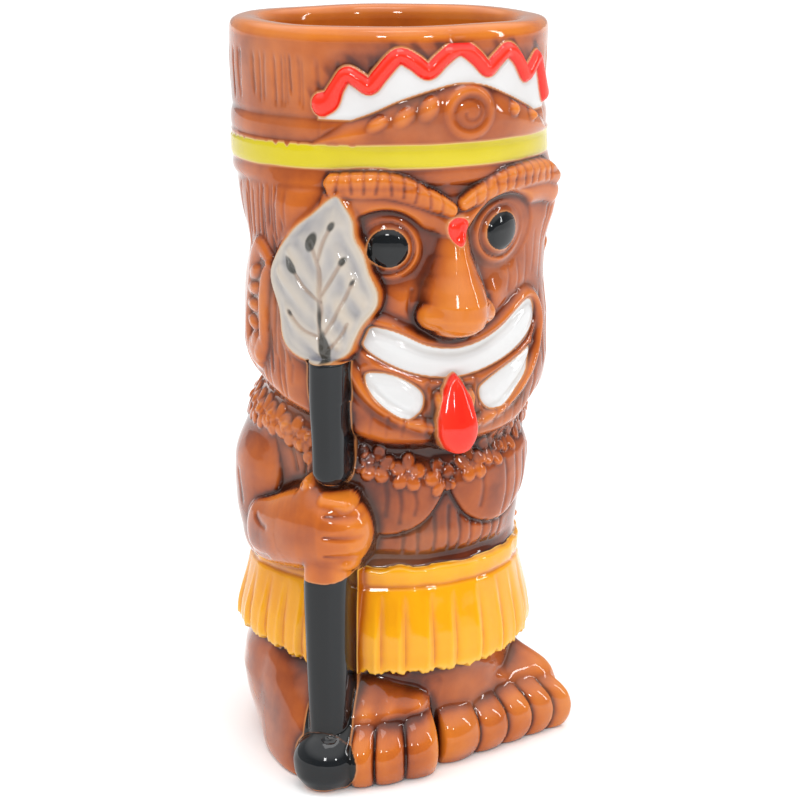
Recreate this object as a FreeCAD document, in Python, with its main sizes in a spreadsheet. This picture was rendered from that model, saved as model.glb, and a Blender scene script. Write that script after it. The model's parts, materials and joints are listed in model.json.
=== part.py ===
"""A slip-cast, glazed tiki mug: a hollow cup whose outside is modelled as a standing figure with a spear.

The cup is one casting. Each sculpted or separately glazed feature of it is an object of its own, cut to meet
the wall and its neighbours face to face. Millimetres; +Z up; the face looks along -Y; the origin is the
centre of the foot. Angles round the mug are measured from the face, positive towards +X.
"""

import FreeCAD
import Part
import math
import os

import Sketcher
from FreeCAD import Placement, Rotation, Vector

SIZES = {
    # the wall, from the foot up: outside radius and height of each station
    "foot_radius": 34.0,
    "ankle_radius": 37.0,
    "ankle_height": 12.0,
    "hip_radius": 35.0,
    "hip_height": 44.0,
    "chest_radius": 36.0,
    "chest_height": 70.0,
    "neck_radius": 33.2,
    "neck_height": 90.5,
    "jaw_radius": 36.8,
    "jaw_height": 100.0,
    "cheek_radius": 37.8,
    "cheek_height": 117.0,
    "temple_radius": 37.2,
    "temple_height": 134.0,
    "crown_radius": 38.8,
    "crown_height": 157.0,
    "rim_radius": 39.8,
    "rim_height": 190.0,
    "rim_round": 2.6,
    # the inside of the cup
    "mouth_radius": 32.2,
    "neck_inner_radius": 27.6,
    "chest_inner_radius": 29.6,
    "floor_radius": 25.0,
    "floor_height": 9.0,
    "foot_recess_radius": 27.0,
    "foot_recess": 1.6,
    # the head bands
    "band_bottom": 154.6,
    "yellow_bottom": 158.4,
    "yellow_top": 163.6,
    "roll_top": 168.4,
    "band_radius": 40.6,
    "roll_radius": 40.2,
    # the painted crown
    "panel_radius": 40.5,
    "zigzag_radius": 41.3,
    "zigzag_width": 3.2,
    "peak_height": 187.4,
    "peak_drop": 7.2,
    "zigzag_depth": 6.0,
    "peak_pitch": 20.5,
    "crown_half_angle": 48.0,
    "mound_radius": 41.6,
    "mound_half_width": 29.5,
    "mound_height": 12.6,
    "medallion_radius": 6.6,
    "medallion_height": 171.0,
    "bead_radius": 2.2,
    # the face
    "brow_radius": 42.4,
    "eye_spacing": 29.5,
    "eye_height": 140.0,
    "eye_ring_radius": 7.7,
    "eye_seat_radius": 5.2,
    "eye_front": 38.6,
    "eye_turn": 14.0,
    "pupil_rise": 1.6,
    "nose_radius": 9.4,
    "nose_height": 124.6,
    "nose_front": 48.6,
    "bridge_top": 148.0,
    "bridge_radius": 3.6,
    "mark_radius": 2.8,
    "mouth_radius_out": 41.2,
    "teeth_radius": 42.0,
    "smile_half_width": 23.5,
    "smile_drop": 8.0,
    "smile_bottom": 106.0,
    "smile_thick": 7.4,
    "lip_width": 2.6,
    "mouth_bottom": 93.0,
    "tongue_radius": 5.3,
    "tongue_top": 103.4,
    "tongue_bottom": 93.4,
    "tongue_front": 45.4,
    "ear_height": 124.0,
    "ear_ring_radius": 8.6,
    "ear_bar_radius": 3.4,
    "ear_angle": 88.0,
    # the spear, on the figure's right
    "spear_angle": 46.0,
    "blade_radius": 42.8,
    "blade_top": 150.0,
    "blade_bottom": 109.0,
    "blade_half_width": 14.0,
    "shaft_radius": 4.7,
    "shaft_lower_radius": 5.4,
    "shaft_offset": 41.2,
    "shaft_lower_offset": 43.2,
    "butt_radius": 7.6,
    "butt_offset": 46.0,
    # arms and hands
    "shoulder_height": 82.0,
    "elbow_height": 60.0,
    "fist_height": 67.5,
    "arm_radius": 7.6,
    "elbow_radius": 8.4,
    "forearm_radius": 8.0,
    "arm_offset": 32.6,
    "fist_radius": 10.4,
    "fist_offset": 40.0,
    "finger_radius": 2.2,
    "finger_count": 4,
    # the garland
    "flower_count": 28,
    "petal_count": 5,
    "petal_radius": 1.55,
    "petal_offset": 2.5,
    "flower_radius_out": 37.8,
    "garland_low": 79.0,
    "garland_rise": 10.0,
    # the skirt
    "waist_top": 56.4,
    "waist_bottom": 50.6,
    "waist_radius": 37.2,
    "skirt_radius": 40.4,
    "skirt_wide_height": 36.0,
    "hem_radius": 39.4,
    "hem_height": 30.5,
    "pleats": 32,
    "pleat_groove": 1.1,
    # the feet
    "instep_height": 15.0,
    "instep_draft": 14.0,
    "foot_inner": 2.4,
    "foot_outer": 40.0,
    "foot_back": 4.0,
    "foot_front": 42.0,
    "toe_reach": 4.6,
    "left_splay": 18.0,
    "left_shift": 8.0,
    "toe_count": 5,
    "big_toe_radius": 6.0,
    "toe_taper": 0.6,
}

doc = FreeCAD.newDocument("tiki_mug")
parts = {}


def fill_sheet():
    """The spreadsheet of driving sizes: a name in column A, its value and alias in column B."""
    sheet = doc.addObject("Spreadsheet::Sheet", "sizes")
    for row, (alias, value) in enumerate(SIZES.items(), start=1):
        sheet.set(f"A{row}", alias)
        sheet.set(f"B{row}", str(value))
        sheet.setAlias(f"B{row}", alias)
    doc.recompute()
    return sheet


sizes = fill_sheet()


def value(expression):
    """What an expression in the sheet's names is worth, as a float."""
    found = sizes.evalExpression(expression)
    return float(getattr(found, "Value", found))


def bind(thing, **expressions):
    """Binds properties of a document object to expressions in the sheet's names."""
    for name, expression in expressions.items():
        thing.setExpression(name, expression)
    return thing


def around(angle, radius, height):
    """The point at that angle from the face, distance from the axis and height."""
    turn = math.radians(angle)
    return Vector(radius * math.sin(turn), -radius * math.cos(turn), height)


def facing(angle, radius=0.0, height=0.0, tilt=0.0):
    """A placement whose local -Y axis points out of the mug at that angle, tilted down by tilt."""
    turn = Rotation(Vector(0, 0, 1), angle) * Rotation(Vector(1, 0, 0), tilt)
    return Placement(around(angle, radius, height), turn)


OUTWARD = Rotation(Vector(1, 0, 0), 90)  # turns a local +Z axis to -Y


# --- PartDesign helpers ------------------------------------------------------------------------------


def new_body(name):
    return doc.addObject("PartDesign::Body", name)


def datum(body, role):
    """The body's own origin plane or axis of that role."""
    return next(f for f in body.Origin.OriginFeatures if f.Role == role)


def outline(body, plane, corners):
    """A closed sketch of straight edges. A corner is a pair of expressions in the sheet's names."""
    sketch = body.newObject("Sketcher::SketchObject", body.Name + "_outline")
    sketch.AttachmentSupport = (datum(body, plane), [""])
    sketch.MapMode = "FlatFace"
    spots = [Vector(value(x), value(y), 0) for x, y in corners]
    count = len(spots)
    for i, spot in enumerate(spots):
        sketch.addGeometry(Part.LineSegment(spot, spots[(i + 1) % count]), False)
    for i in range(count):
        sketch.addConstraint(Sketcher.Constraint("Coincident", i, 2, (i + 1) % count, 1))
    for i, (x, y) in enumerate(corners):
        for kind, axis, expression in (("DistanceX", -2, x), ("DistanceY", -1, y)):
            if value(expression) == 0:
                sketch.addConstraint(Sketcher.Constraint("PointOnObject", i, 1, axis))
                continue
            size = value(expression)
            at = sketch.addConstraint(Sketcher.Constraint(kind, -1, 1, i, 1, size))
            sketch.setExpression(f"Constraints[{at}]", full(expression))
    sketch.Visibility = False
    return sketch


def full(expression):
    """The expression with each of the sheet's names led by the sheet's own name."""
    words = []
    word = ""
    for letter in expression + " ":
        if letter.isalnum() or letter in "_.":
            word += letter
            continue
        words.append(f"sizes.{word}" if word in SIZES else word)
        words.append(letter)
        word = ""
    return "".join(words).strip()


def revolved(name, corners):
    """A body turned about +Z from a closed outline of (radius, height) expressions."""
    body = new_body(name)
    turned = body.newObject("PartDesign::Revolution", name + "_turned")
    turned.Profile = outline(body, "XZ_Plane", corners)
    turned.ReferenceAxis = (datum(body, "Z_Axis"), [""])
    turned.Angle = 360.0
    body.Tip = turned
    return body


def padded(name, corners, length, plane="XZ_Plane"):
    """A body padded from a closed outline, towards -Y from the XZ plane or up from the XY plane."""
    body = new_body(name)
    pad = body.newObject("PartDesign::Pad", name + "_pad")
    pad.Profile = outline(body, plane, corners)
    pad.setExpression("Length", full(length))
    body.Tip = pad
    return body


# --- Part helpers ------------------------------------------------------------------------------------


def cylinder(name, radius, length, placement=None):
    made = doc.addObject("Part::Cylinder", name)
    bind(made, Radius=full(radius), Height=full(length))
    made.Placement = placement or Placement()
    return made


def sphere(name, radius, centre):
    made = doc.addObject("Part::Sphere", name)
    bind(made, Radius=full(radius))
    made.Placement.Base = centre
    return made


def link_cone(name, radius_a, radius_b, start, end):
    """A cone between two points, with those radii at its ends."""
    made = doc.addObject("Part::Cone", name)
    bind(made, Radius1=full(radius_a), Radius2=full(radius_b))
    made.Height = (end - start).Length
    made.Placement = Placement(start, Rotation(Vector(0, 0, 1), end - start))
    return made


def fused(name, shapes):
    made = doc.addObject("Part::MultiFuse", name)
    made.Shapes = list(shapes)
    return made


def common(name, *shapes):
    made = doc.addObject("Part::MultiCommon", name)
    made.Shapes = list(shapes)
    return made


def cut(name, base, tools):
    """The base without its tools, which are sub-parts or solids that don't overlap one another."""
    tool = tools[0]
    if len(tools) > 1:
        tool = doc.addObject("Part::Compound", name + "_tools")
        tool.Links = list(tools)
    made = doc.addObject("Part::Cut", name + "_cut")
    made.Base = base
    made.Tool = tool
    return made


def keep(label, thing):
    """Names a finished sub-part."""
    thing.Label = label
    parts[label] = thing
    return thing


def carve(label, blank, neighbours=()):
    """A sub-part: the blank less the cup's core and less the sub-parts that it meets."""
    tools = [core, *(parts[n] for n in neighbours)]
    return keep(label, cut(label, blank, tools))


def mirrored(label, source):
    """The sub-part's twin across the YZ plane."""
    made = doc.addObject("Part::Mirroring", label + "_mirror")
    made.Source = source
    made.Normal = Vector(1, 0, 0)
    return keep(label, made)


def relief(name, corners, radius, angle=0.0):
    """A raised area: an outline of (across, height) thrown outwards, no further out than a radius."""
    prism = padded(name + "_prism", corners, "rim_radius + 20")
    prism.Placement = facing(angle)
    limit = cylinder(name + "_limit", radius, "rim_height")
    return common(name + "_blank", prism, limit)


# --- the cup -----------------------------------------------------------------------------------------

STATIONS = ("ankle", "hip", "chest", "neck", "jaw", "cheek", "temple", "crown")


def outer_wall():
    """The outside of the wall as (radius, height) expressions, from the foot to the rim."""
    wall = [("foot_radius", "0")]
    wall += [(f"{s}_radius", f"{s}_height") for s in STATIONS]
    wall.append(("rim_radius", "rim_height - rim_round"))
    wall.append(("rim_radius - rim_round", "rim_height"))
    return wall


def make_core():
    """The cup's outer form as a solid with no cavity, which the features are cut against."""
    return revolved("core", [("0", "0"), *outer_wall(), ("0", "rim_height")])


def make_cup():
    """The hollow cup: the wall, the floor and the shallow recess under the foot."""
    inside = [
        ("mouth_radius + rim_round", "rim_height"),
        ("mouth_radius", "rim_height - rim_round"),
        ("mouth_radius - 0.6", "crown_height"),
        ("mouth_radius - 1.4", "jaw_height"),
        ("neck_inner_radius", "neck_height"),
        ("chest_inner_radius", "chest_height"),
        ("chest_inner_radius - 0.6", "hip_height"),
        ("floor_radius + 3", "floor_height + 4"),
        ("floor_radius", "floor_height"),
        ("0", "floor_height"),
    ]
    under = [
        ("0", "foot_recess"),
        ("foot_recess_radius", "foot_recess"),
        ("foot_recess_radius + 1", "0"),
    ]
    keep("cup", revolved("cup", [*under, *outer_wall(), *inside]))


# --- the head bands and the crown --------------------------------------------------------------------


def make_bands():
    band = [
        ("neck_radius", "yellow_bottom"),
        ("neck_radius", "band_bottom"),
        ("crown_radius", "band_bottom"),
        ("band_radius - 0.4", "yellow_bottom"),
    ]
    carve("band_edge", revolved("band_edge", band))
    yellow = [
        ("neck_radius", "yellow_bottom"),
        ("band_radius - 0.4", "yellow_bottom"),
        ("band_radius + 0.2", "yellow_bottom + 1.4"),
        ("band_radius + 0.2", "yellow_top - 1.4"),
        ("band_radius - 0.4", "yellow_top"),
        ("neck_radius", "yellow_top"),
    ]
    carve("headband", revolved("headband", yellow))
    roll = [
        ("neck_radius", "yellow_top"),
        ("band_radius - 0.4", "yellow_top"),
        ("roll_radius", "yellow_top + 1.2"),
        ("roll_radius", "roll_top - 1.6"),
        ("crown_radius", "roll_top"),
        ("neck_radius", "roll_top"),
    ]
    carve("hat_roll", revolved("hat_roll", roll))


def zigzag_line(rise):
    """The zigzag's corners from left to right, raised by an expression: peaks, valleys and two low ends."""
    corners = []
    pitch = value("peak_pitch")
    for half_step in range(-4, 5):
        angle = half_step * pitch / 2
        share = abs(half_step) / 4
        drop = f"peak_drop * {share ** 2:.4f}"
        depth = "zigzag_depth" if half_step % 2 else "0"
        across = f"zigzag_radius * {math.sin(math.radians(angle)):.5f}"
        corners.append((across, f"peak_height - {drop} - {depth} + ({rise})"))
    end = math.sin(math.radians(value("crown_half_angle")))
    low = f"roll_top + 3.4 + ({rise})"
    return [(f"zigzag_radius * {-end:.5f}", low), *corners, (f"zigzag_radius * {end:.5f}", low)]


def mound_line():
    """The top edge of the mound of hair, from left to right."""
    shares = (-1.0, -0.66, -0.33, 0.0, 0.33, 0.66, 1.0)
    return [(f"mound_half_width * {s}", f"yellow_top + mound_height * {1 - s * s:.4f}") for s in shares]


def make_crown():
    bottom = [("mound_half_width + 1", "yellow_top"), ("-mound_half_width - 1", "yellow_top")]
    mound = relief("mound", [*mound_line()[1:-1], *bottom], "mound_radius")
    carve("hair_mound", mound, ["headband", "hat_roll"])
    upper, lower = zigzag_line("zigzag_width / 2"), zigzag_line("-zigzag_width / 2")
    stripe = relief("stripe", [*lower, *reversed(upper)], "zigzag_radius")
    carve("crown_zigzag", stripe, ["hair_mound", "hat_roll"])
    floor = [("mound_half_width + 1", "roll_top - 2"), ("-mound_half_width - 1", "roll_top - 2")]
    panel = relief("panel", [*lower, *floor], "panel_radius")
    carve("crown_panel", panel, ["hair_mound", "hat_roll", "crown_zigzag"])
    make_medallion()


def make_medallion():
    """A round boss with a ring and a button, in the middle of the mound, and the beads beside it."""
    body = revolved("medallion_disc", [
        ("0", "0"),
        ("medallion_radius", "0"),
        ("medallion_radius", "6.4"),
        ("medallion_radius - 1.2", "7.2"),
        ("medallion_radius - 2.4", "6.2"),
        ("2.6", "7.4"),
        ("0", "7.8"),
    ])
    spot = around(0, value("panel_radius - 4.6"), value("medallion_height"))
    body.Placement = Placement(spot, OUTWARD)
    carve("medallion", body, ["hair_mound", "crown_panel", "headband", "hat_roll"])
    beads = []
    for angle in (-25.5, -14.5, 14.5, 25.5):
        height = value("medallion_height") - 0.07 * abs(angle)
        centre = around(angle, value("mound_radius"), height)
        beads.append(sphere("bead", "bead_radius", centre))
    loose = doc.addObject("Part::Compound", "beads")
    loose.Links = beads
    carve("hair_beads", loose, ["hair_mound", "medallion", "crown_panel", "hat_roll"])


# --- the face ----------------------------------------------------------------------------------------


def make_eyes():
    """Each eye is a turned ring with a seat, and the glazed pupil that fills the seat."""
    ring = [
        ("0", "0"),
        ("eye_ring_radius", "0"),
        ("eye_ring_radius", "3.2"),
        ("eye_ring_radius - 1.3", "4.2"),
        ("eye_seat_radius", "3.0"),
        ("eye_seat_radius", "2.0"),
        ("0", "2.0"),
    ]
    pupil = [
        ("0", "2.0"),
        ("eye_seat_radius", "2.0"),
        ("eye_seat_radius", "3.0"),
        ("eye_seat_radius * 0.62", "3.0 + pupil_rise * 0.7"),
        ("0", "3.0 + pupil_rise"),
    ]
    across, height = value("eye_spacing / 2"), value("eye_height")
    out = value("eye_front") - 3.0
    turn = Rotation(Vector(0, 0, 1), value("eye_turn")) * OUTWARD
    for name, corners in (("eye", ring), ("pupil", pupil)):
        body = revolved(name + "_left_blank", corners)
        body.Placement = Placement(Vector(across, -out + 1.6, height), turn)
        left = carve(name + "_left", body, ["eye_left"] if name == "pupil" else [])
        mirrored(name + "_right", left)


def make_brows():
    """The brows are arched bars, low beside the nose."""
    corners = [
        ("5.2", "eye_height + 6.6"),
        ("11", "eye_height + 9.4"),
        ("20", "eye_height + 10.8"),
        ("28.5", "eye_height + 9.6"),
        ("29.5", "eye_height + 14.4"),
        ("20", "eye_height + 17.0"),
        ("10", "eye_height + 15.4"),
        ("4.6", "eye_height + 11.4"),
    ]
    bar = relief("brow", corners, "brow_radius")
    left = carve("brow_left", bar, ["eye_left", "band_edge"])
    mirrored("brow_right", left)


def make_nose():
    middle = value("nose_front - nose_radius")
    bulb = sphere("bulb", "nose_radius", Vector(0, -middle, value("nose_height")))
    top = Vector(0, -value("temple_radius"), value("bridge_top"))
    bridge = link_cone("bridge", "nose_radius * 0.72", "bridge_radius", bulb.Placement.Base, top)
    shape = fused("nose_blank", [bulb, bridge])
    eyes = ["eye_left", "eye_right", "brow_left", "brow_right"]
    mark = sphere("mark_blank", "mark_radius", Vector(0, -value("cheek_radius") - 2.8, 142.6))
    carve("nose_mark", mark, eyes)
    carve("nose", shape, [*eyes, "nose_mark"])


def smile(drop_share, rise, reach="0"):
    """Points on the smile's curve from left to right, raised by an expression and reaching further out."""
    shares = (-1.0, -0.75, -0.5, -0.25, 0.0, 0.25, 0.5, 0.75, 1.0)
    line = []
    for share in shares:
        across = f"(smile_half_width + {reach}) * {share}"
        line.append((across, f"smile_bottom + ({rise}) + smile_drop * {drop_share * share * share:.4f}"))
    return line


def make_mouth():
    """Upper teeth, two lower patches of teeth and the tongue, set into the lips' frame."""
    teeth = relief("teeth", [*smile(1.0, "0")[1:-1], *reversed(smile(1.15, "smile_thick"))], "teeth_radius")
    carve("upper_teeth", teeth, ["nose", "spear_blade"])
    patch = [
        ("8.0", "smile_bottom - 2.6"),
        ("20.5", "smile_bottom + 1.6"),
        ("22.6", "smile_bottom - 2.4"),
        ("19.5", "smile_bottom - 6.6"),
        ("11.5", "smile_bottom - 9.4"),
        ("8.4", "smile_bottom - 7.4"),
    ]
    left = carve("lower_teeth_left", relief("patch", patch, "teeth_radius"), ["upper_teeth"])
    mirrored("lower_teeth_right", left)
    out = value("tongue_front - tongue_radius")
    tip, root = value("tongue_bottom"), value("tongue_top")
    ends = [Vector(0, -out, tip), Vector(0, -out + 2.2, root)]
    balls = [sphere("tongue_end", "tongue_radius", end) for end in ends]
    bar = link_cone("tongue_bar", "tongue_radius", "tongue_radius", *ends)
    teeth_all = ["upper_teeth", "lower_teeth_left", "lower_teeth_right"]
    carve("tongue", fused("tongue_blank", [*balls, bar]), teeth_all)
    frame = [
        *reversed(smile(1.15, "smile_thick + lip_width", "lip_width")),
        ("-smile_half_width", "smile_bottom"),
        ("-smile_half_width * 0.86", "smile_bottom - 7.4"),
        ("-smile_half_width * 0.5", "mouth_bottom"),
        ("smile_half_width * 0.5", "mouth_bottom"),
        ("smile_half_width * 0.86", "smile_bottom - 7.4"),
        ("smile_half_width", "smile_bottom"),
    ]
    lips = relief("lips", frame, "mouth_radius_out")
    carve("lips", lips, [*teeth_all, "tongue", "nose", "spear_blade"])


def make_ears():
    """An open ring standing on the side of the head, with the lobe as a ball."""
    angle = value("ear_angle")
    ring = doc.addObject("Part::Torus", "ear_ring")
    bind(ring, Radius1=full("ear_ring_radius"), Radius2=full("ear_bar_radius"))
    centre = around(angle, value("cheek_radius"), value("ear_height"))
    ring.Placement = Placement(centre, Rotation(Vector(0, 0, 1), angle) * OUTWARD)
    lobe = sphere("ear_lobe", "ear_bar_radius + 0.8", centre + Vector(0, 0, -value("ear_ring_radius")))
    left = carve("ear_left", fused("ear_blank", [ring, lobe]))
    mirrored("ear_right_blank", left)


# --- the spear ---------------------------------------------------------------------------------------


def make_blade():
    """A leaf-shaped blade that lies on the side of the head."""
    leaf = [
        ("0", "blade_bottom"),
        ("blade_half_width * 0.5", "blade_bottom + 1.8"),
        ("blade_half_width * 0.72", "blade_bottom + 8"),
        ("blade_half_width", "blade_bottom + 15"),
        ("blade_half_width * 0.7", "blade_bottom + 24"),
        ("blade_half_width * 0.42", "blade_bottom + 33"),
        ("blade_half_width * 0.12", "blade_top"),
        ("-blade_half_width * 0.42", "blade_bottom + 34"),
        ("-blade_half_width", "blade_bottom + 22"),
        ("-blade_half_width * 0.78", "blade_bottom + 11"),
        ("-blade_half_width * 0.56", "blade_bottom + 3"),
    ]
    blank = relief("leaf", leaf, "blade_radius", -value("spear_angle"))
    carve("spear_blade", blank, ["ear_right_blank", "band_edge", "brow_right", "eye_right"])
    keep("ear_right", cut("ear_right", parts.pop("ear_right_blank"), [parts["spear_blade"]]))


def make_shaft():
    """The shaft above and below the fist, and the round butt on the ground."""
    angle = -value("spear_angle")
    top = around(angle, value("shaft_offset"), value("blade_bottom"))
    grip = around(angle, value("shaft_offset"), value("fist_height"))
    foot = around(angle, value("butt_offset"), value("butt_radius"))
    heel = around(angle, value("shaft_lower_offset"), value("butt_radius"))
    knee = around(angle, value("shaft_lower_offset"), value("fist_height"))
    upper = link_cone("upper_blank", "shaft_radius - 0.3", "shaft_radius", grip, top)
    lower = link_cone("lower_blank", "shaft_lower_radius", "shaft_lower_radius", heel, knee)
    ball = sphere("butt_blank", "butt_radius", foot)
    carve("spear_butt", ball)
    carve("spear_shaft_lower", lower, ["spear_butt", "right_fist"])
    carve("spear_shaft_upper", upper, ["right_fist", "spear_blade", "lips"])


# --- arms and hands ----------------------------------------------------------------------------------


def make_right_fist():
    """A closed hand round the shaft: the palm and a row of curled fingers."""
    angle = -value("spear_angle")
    height = value("fist_height")
    palm = sphere("palm", "fist_radius", around(angle, value("fist_offset"), height))
    pitch = 2 * value("fist_radius") * 0.86 / value("finger_count")
    shapes = [palm]
    for i in range(int(value("finger_count"))):
        level = height + (i - (value("finger_count") - 1) / 2) * pitch
        start = around(angle - 2, value("fist_offset + fist_radius - finger_radius"), level)
        end = around(angle + 15, value("fist_offset") + 5.0, level)
        shapes.append(link_cone("finger", "finger_radius", "finger_radius", start, end))
        shapes.append(sphere("finger_tip", "finger_radius", end))
        shapes.append(sphere("knuckle", "finger_radius", start))
    carve("right_fist", fused("fist_blank", shapes))


def make_arm(side, stations):
    """An arm through (angle, offset, height, radius) stations, as balls joined by cones."""
    shapes = []
    spots = [around(a, value(o), value(z)) for a, o, z, _ in stations]
    for spot, (_, _, _, radius) in zip(spots, stations):
        shapes.append(sphere(side + "_joint", radius, spot))
    for i in range(len(spots) - 1):
        ends = (spots[i], spots[i + 1])
        shapes.append(link_cone(side + "_limb", stations[i][3], stations[i + 1][3], *ends))
    return fused(side + "_arm_blank", shapes)


def make_arms():
    right = make_arm("right", [
        (-88, "arm_offset - 1.5", "shoulder_height", "arm_radius"),
        (-100, "arm_offset + 0.2", "elbow_height", "elbow_radius"),
        (-62, "arm_offset + 2.6", "elbow_height + 2", "forearm_radius"),
    ])
    carve("right_arm", right, ["right_fist", "spear_shaft_upper", "spear_shaft_lower"])
    left = make_arm("left", [
        (90, "arm_offset - 1.5", "shoulder_height", "arm_radius"),
        (98, "arm_offset - 0.4", "elbow_height + 1", "arm_radius"),
    ])
    hand = make_arm("left_hand", [
        (92, "arm_offset + 0.6", "elbow_height - 4", "forearm_radius - 2.2"),
        (80, "arm_offset + 1.4", "elbow_height - 5", "forearm_radius - 3"),
    ])
    carve("left_arm", left)
    carve("left_hand", hand, ["left_arm"])


# --- garland, skirt and feet -------------------------------------------------------------------------


def make_garland():
    """A ring of small flowers that hangs lower over the chest. It is a group of separate solids."""
    count, petals = int(value("flower_count")), int(value("petal_count"))
    flowers = []
    for i in range(count):
        angle = i * 360.0 / count
        sag = (1 - math.cos(math.radians(angle))) / 2
        height = value("garland_low") + value("garland_rise") * min(1.0, 2.2 * sag)
        seat = Placement(around(angle, value("neck_radius"), height), Rotation(Vector(0, 0, 1), angle) * OUTWARD)
        depth = value("flower_radius_out - neck_radius")
        flower = Part.makeCylinder(value("petal_radius") + 0.3, depth + 0.3)
        for p in range(petals):
            turn = 2 * math.pi * p / petals + math.pi / 2
            out = value("petal_offset")
            spot = Vector(out * math.cos(turn), out * math.sin(turn), 0)
            flower = flower.fuse(Part.makeCylinder(value("petal_radius"), depth, spot))
        flower.Placement = seat
        flowers.append(flower)
    blank = doc.addObject("Part::Feature", "garland_blank")
    blank.Shape = Part.makeCompound(flowers)
    arms = ["right_arm", "left_arm", "spear_shaft_upper", "right_fist"]
    carve("garland_flowers", blank, arms)


def make_skirt():
    """A waistband and a flared, pleated skirt."""
    limbs = ["right_arm", "right_fist", "left_hand", "left_arm", "spear_shaft_lower"]
    waist = [
        ("neck_radius", "waist_bottom"),
        ("waist_radius + 0.6", "waist_bottom"),
        ("waist_radius + 0.6", "waist_top - 2"),
        ("waist_radius - 0.6", "waist_top"),
        ("neck_radius", "waist_top"),
    ]
    carve("waistband", revolved("waistband", waist), limbs)
    flare = [
        ("neck_radius", "waist_bottom"),
        ("waist_radius + 0.2", "waist_bottom"),
        ("skirt_radius", "skirt_wide_height"),
        ("hem_radius", "hem_height"),
        ("neck_radius", "hem_height"),
    ]
    body = revolved("skirt_flare", flare)
    notch = body.newObject("PartDesign::Pocket", "pleat_notch")
    groove = [
        ("skirt_radius + 2", "pleat_groove + 1"),
        ("skirt_radius - 1.4", "0"),
        ("skirt_radius + 2", "-pleat_groove - 1"),
    ]
    notch.Profile = outline(body, "XY_Plane", groove)
    notch.Type = "ThroughAll"
    notch.Reversed = True
    pleats = body.newObject("PartDesign::PolarPattern", "pleat_ring")
    pleats.Originals = [notch]
    pleats.Axis = (datum(body, "Z_Axis"), [""])
    pleats.Angle = 360.0
    pleats.setExpression("Occurrences", full("pleats"))
    body.Tip = pleats
    carve("skirt", body, limbs)


def make_foot(side, sign, splay, shift, neighbours):
    """A sloping instep with five toes in a row, turned out by splay and moved towards the middle."""
    plan = [
        ("foot_inner", "-foot_back"),
        ("foot_inner", "toe_reach - foot_front"),
        ("foot_inner + 10", "toe_reach - foot_front - 1"),
        ("foot_outer - 6", "toe_reach - foot_front + 1"),
        ("foot_outer", "toe_reach - foot_front + 8"),
        ("foot_outer - 2", "-foot_back"),
    ]
    corners = [(f"{sign} * ({x})", y) for x, y in plan]
    instep = padded(side + "_instep", corners, "instep_height", "XY_Plane")
    instep.Tip.setExpression("TaperAngle", "-" + full("instep_draft"))
    shapes = [instep]
    edge = value("foot_inner")
    for i in range(int(value("toe_count"))):
        size = f"big_toe_radius - {i} * toe_taper"
        radius = value(size)
        across = edge + 0.8 * radius
        edge = across + 0.8 * radius
        tip = Vector(sign * across, radius - value("foot_front") + 0.5 * i, radius)
        root = tip + Vector(-sign * 0.8, 9.0, 4.0)
        shapes.append(sphere(side + "_toe_tip", size, tip))
        shapes.append(link_cone(side + "_toe", size, size, tip, root))
    blank = fused(side + "_foot_blank", shapes)
    blank.Placement = Placement(Vector(-sign * shift, 0, 0), Rotation(Vector(0, 0, 1), sign * splay))
    above = doc.addObject("Part::Box", side + "_ground")
    bind(above, Length="200", Width="200", Height=full("hem_height"))
    above.Placement.Base = Vector(-100, -100, 0)
    carve("foot_" + side, common(side + "_foot_above", blank, above), neighbours)


# --- build, check and write --------------------------------------------------------------------------

core = make_core()
make_cup()
make_bands()
make_crown()
make_eyes()
make_brows()
make_nose()
make_ears()
make_blade()
make_mouth()
make_right_fist()
make_shaft()
make_arms()
make_garland()
make_skirt()
make_foot("right", -1, 0.0, 0.0, ["spear_butt", "spear_shaft_lower"])
make_foot("left", 1, value("left_splay"), value("left_shift"), [])
doc.recompute()

failed = [o.Name for o in doc.Objects if "Invalid" in o.State or "Error" in o.State]
if failed:
    raise RuntimeError(f"these objects failed: {failed}")

os.makedirs("parts", exist_ok=True)
for label, thing in parts.items():
    shape = thing.Shape
    if shape.isNull() or not shape.isValid() or not shape.Solids:
        raise RuntimeError(f"{label} has no valid solid")
    print(f"{label:20s} {len(shape.Solids):3d} solid(s) {shape.Volume / 1000:8.2f} cm3")
    shape.exportStep(f"parts/{label}.step")
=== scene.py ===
"""Looks for the tiki mug: one relief round the cup, cut into the pieces that the CAD names.

Each piece has its own glaze. The outside of the mug is a radius for every angle and height. Each sculpted
feature raises or carves that radius and says where it lies, so neighbouring pieces meet along one line and
share one smooth surface.
Millimetres and degrees inside the relief (0 is the face, at -Y; positive towards +X); metres in the meshes.
"""

import json
import math

import bpy
import numpy as np
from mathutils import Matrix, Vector


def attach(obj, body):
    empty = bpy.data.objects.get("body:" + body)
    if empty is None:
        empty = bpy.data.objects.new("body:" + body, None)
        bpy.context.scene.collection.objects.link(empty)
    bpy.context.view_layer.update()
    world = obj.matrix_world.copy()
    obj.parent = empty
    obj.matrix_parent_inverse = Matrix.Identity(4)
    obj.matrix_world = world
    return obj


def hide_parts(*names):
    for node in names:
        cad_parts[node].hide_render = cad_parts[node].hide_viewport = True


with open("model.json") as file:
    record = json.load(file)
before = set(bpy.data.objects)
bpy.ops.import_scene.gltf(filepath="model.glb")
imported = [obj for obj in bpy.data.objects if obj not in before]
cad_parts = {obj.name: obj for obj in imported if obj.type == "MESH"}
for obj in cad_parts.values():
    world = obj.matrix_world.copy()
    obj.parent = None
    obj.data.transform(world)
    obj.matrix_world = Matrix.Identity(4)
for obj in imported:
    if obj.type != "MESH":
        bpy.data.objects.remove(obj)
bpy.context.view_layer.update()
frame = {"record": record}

MM = 0.001
RADIUS = 40.0  # the chart's radius: distances on the relief are measured as if the wall were this far out
PER_DEGREE = RADIUS * math.pi / 180
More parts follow.
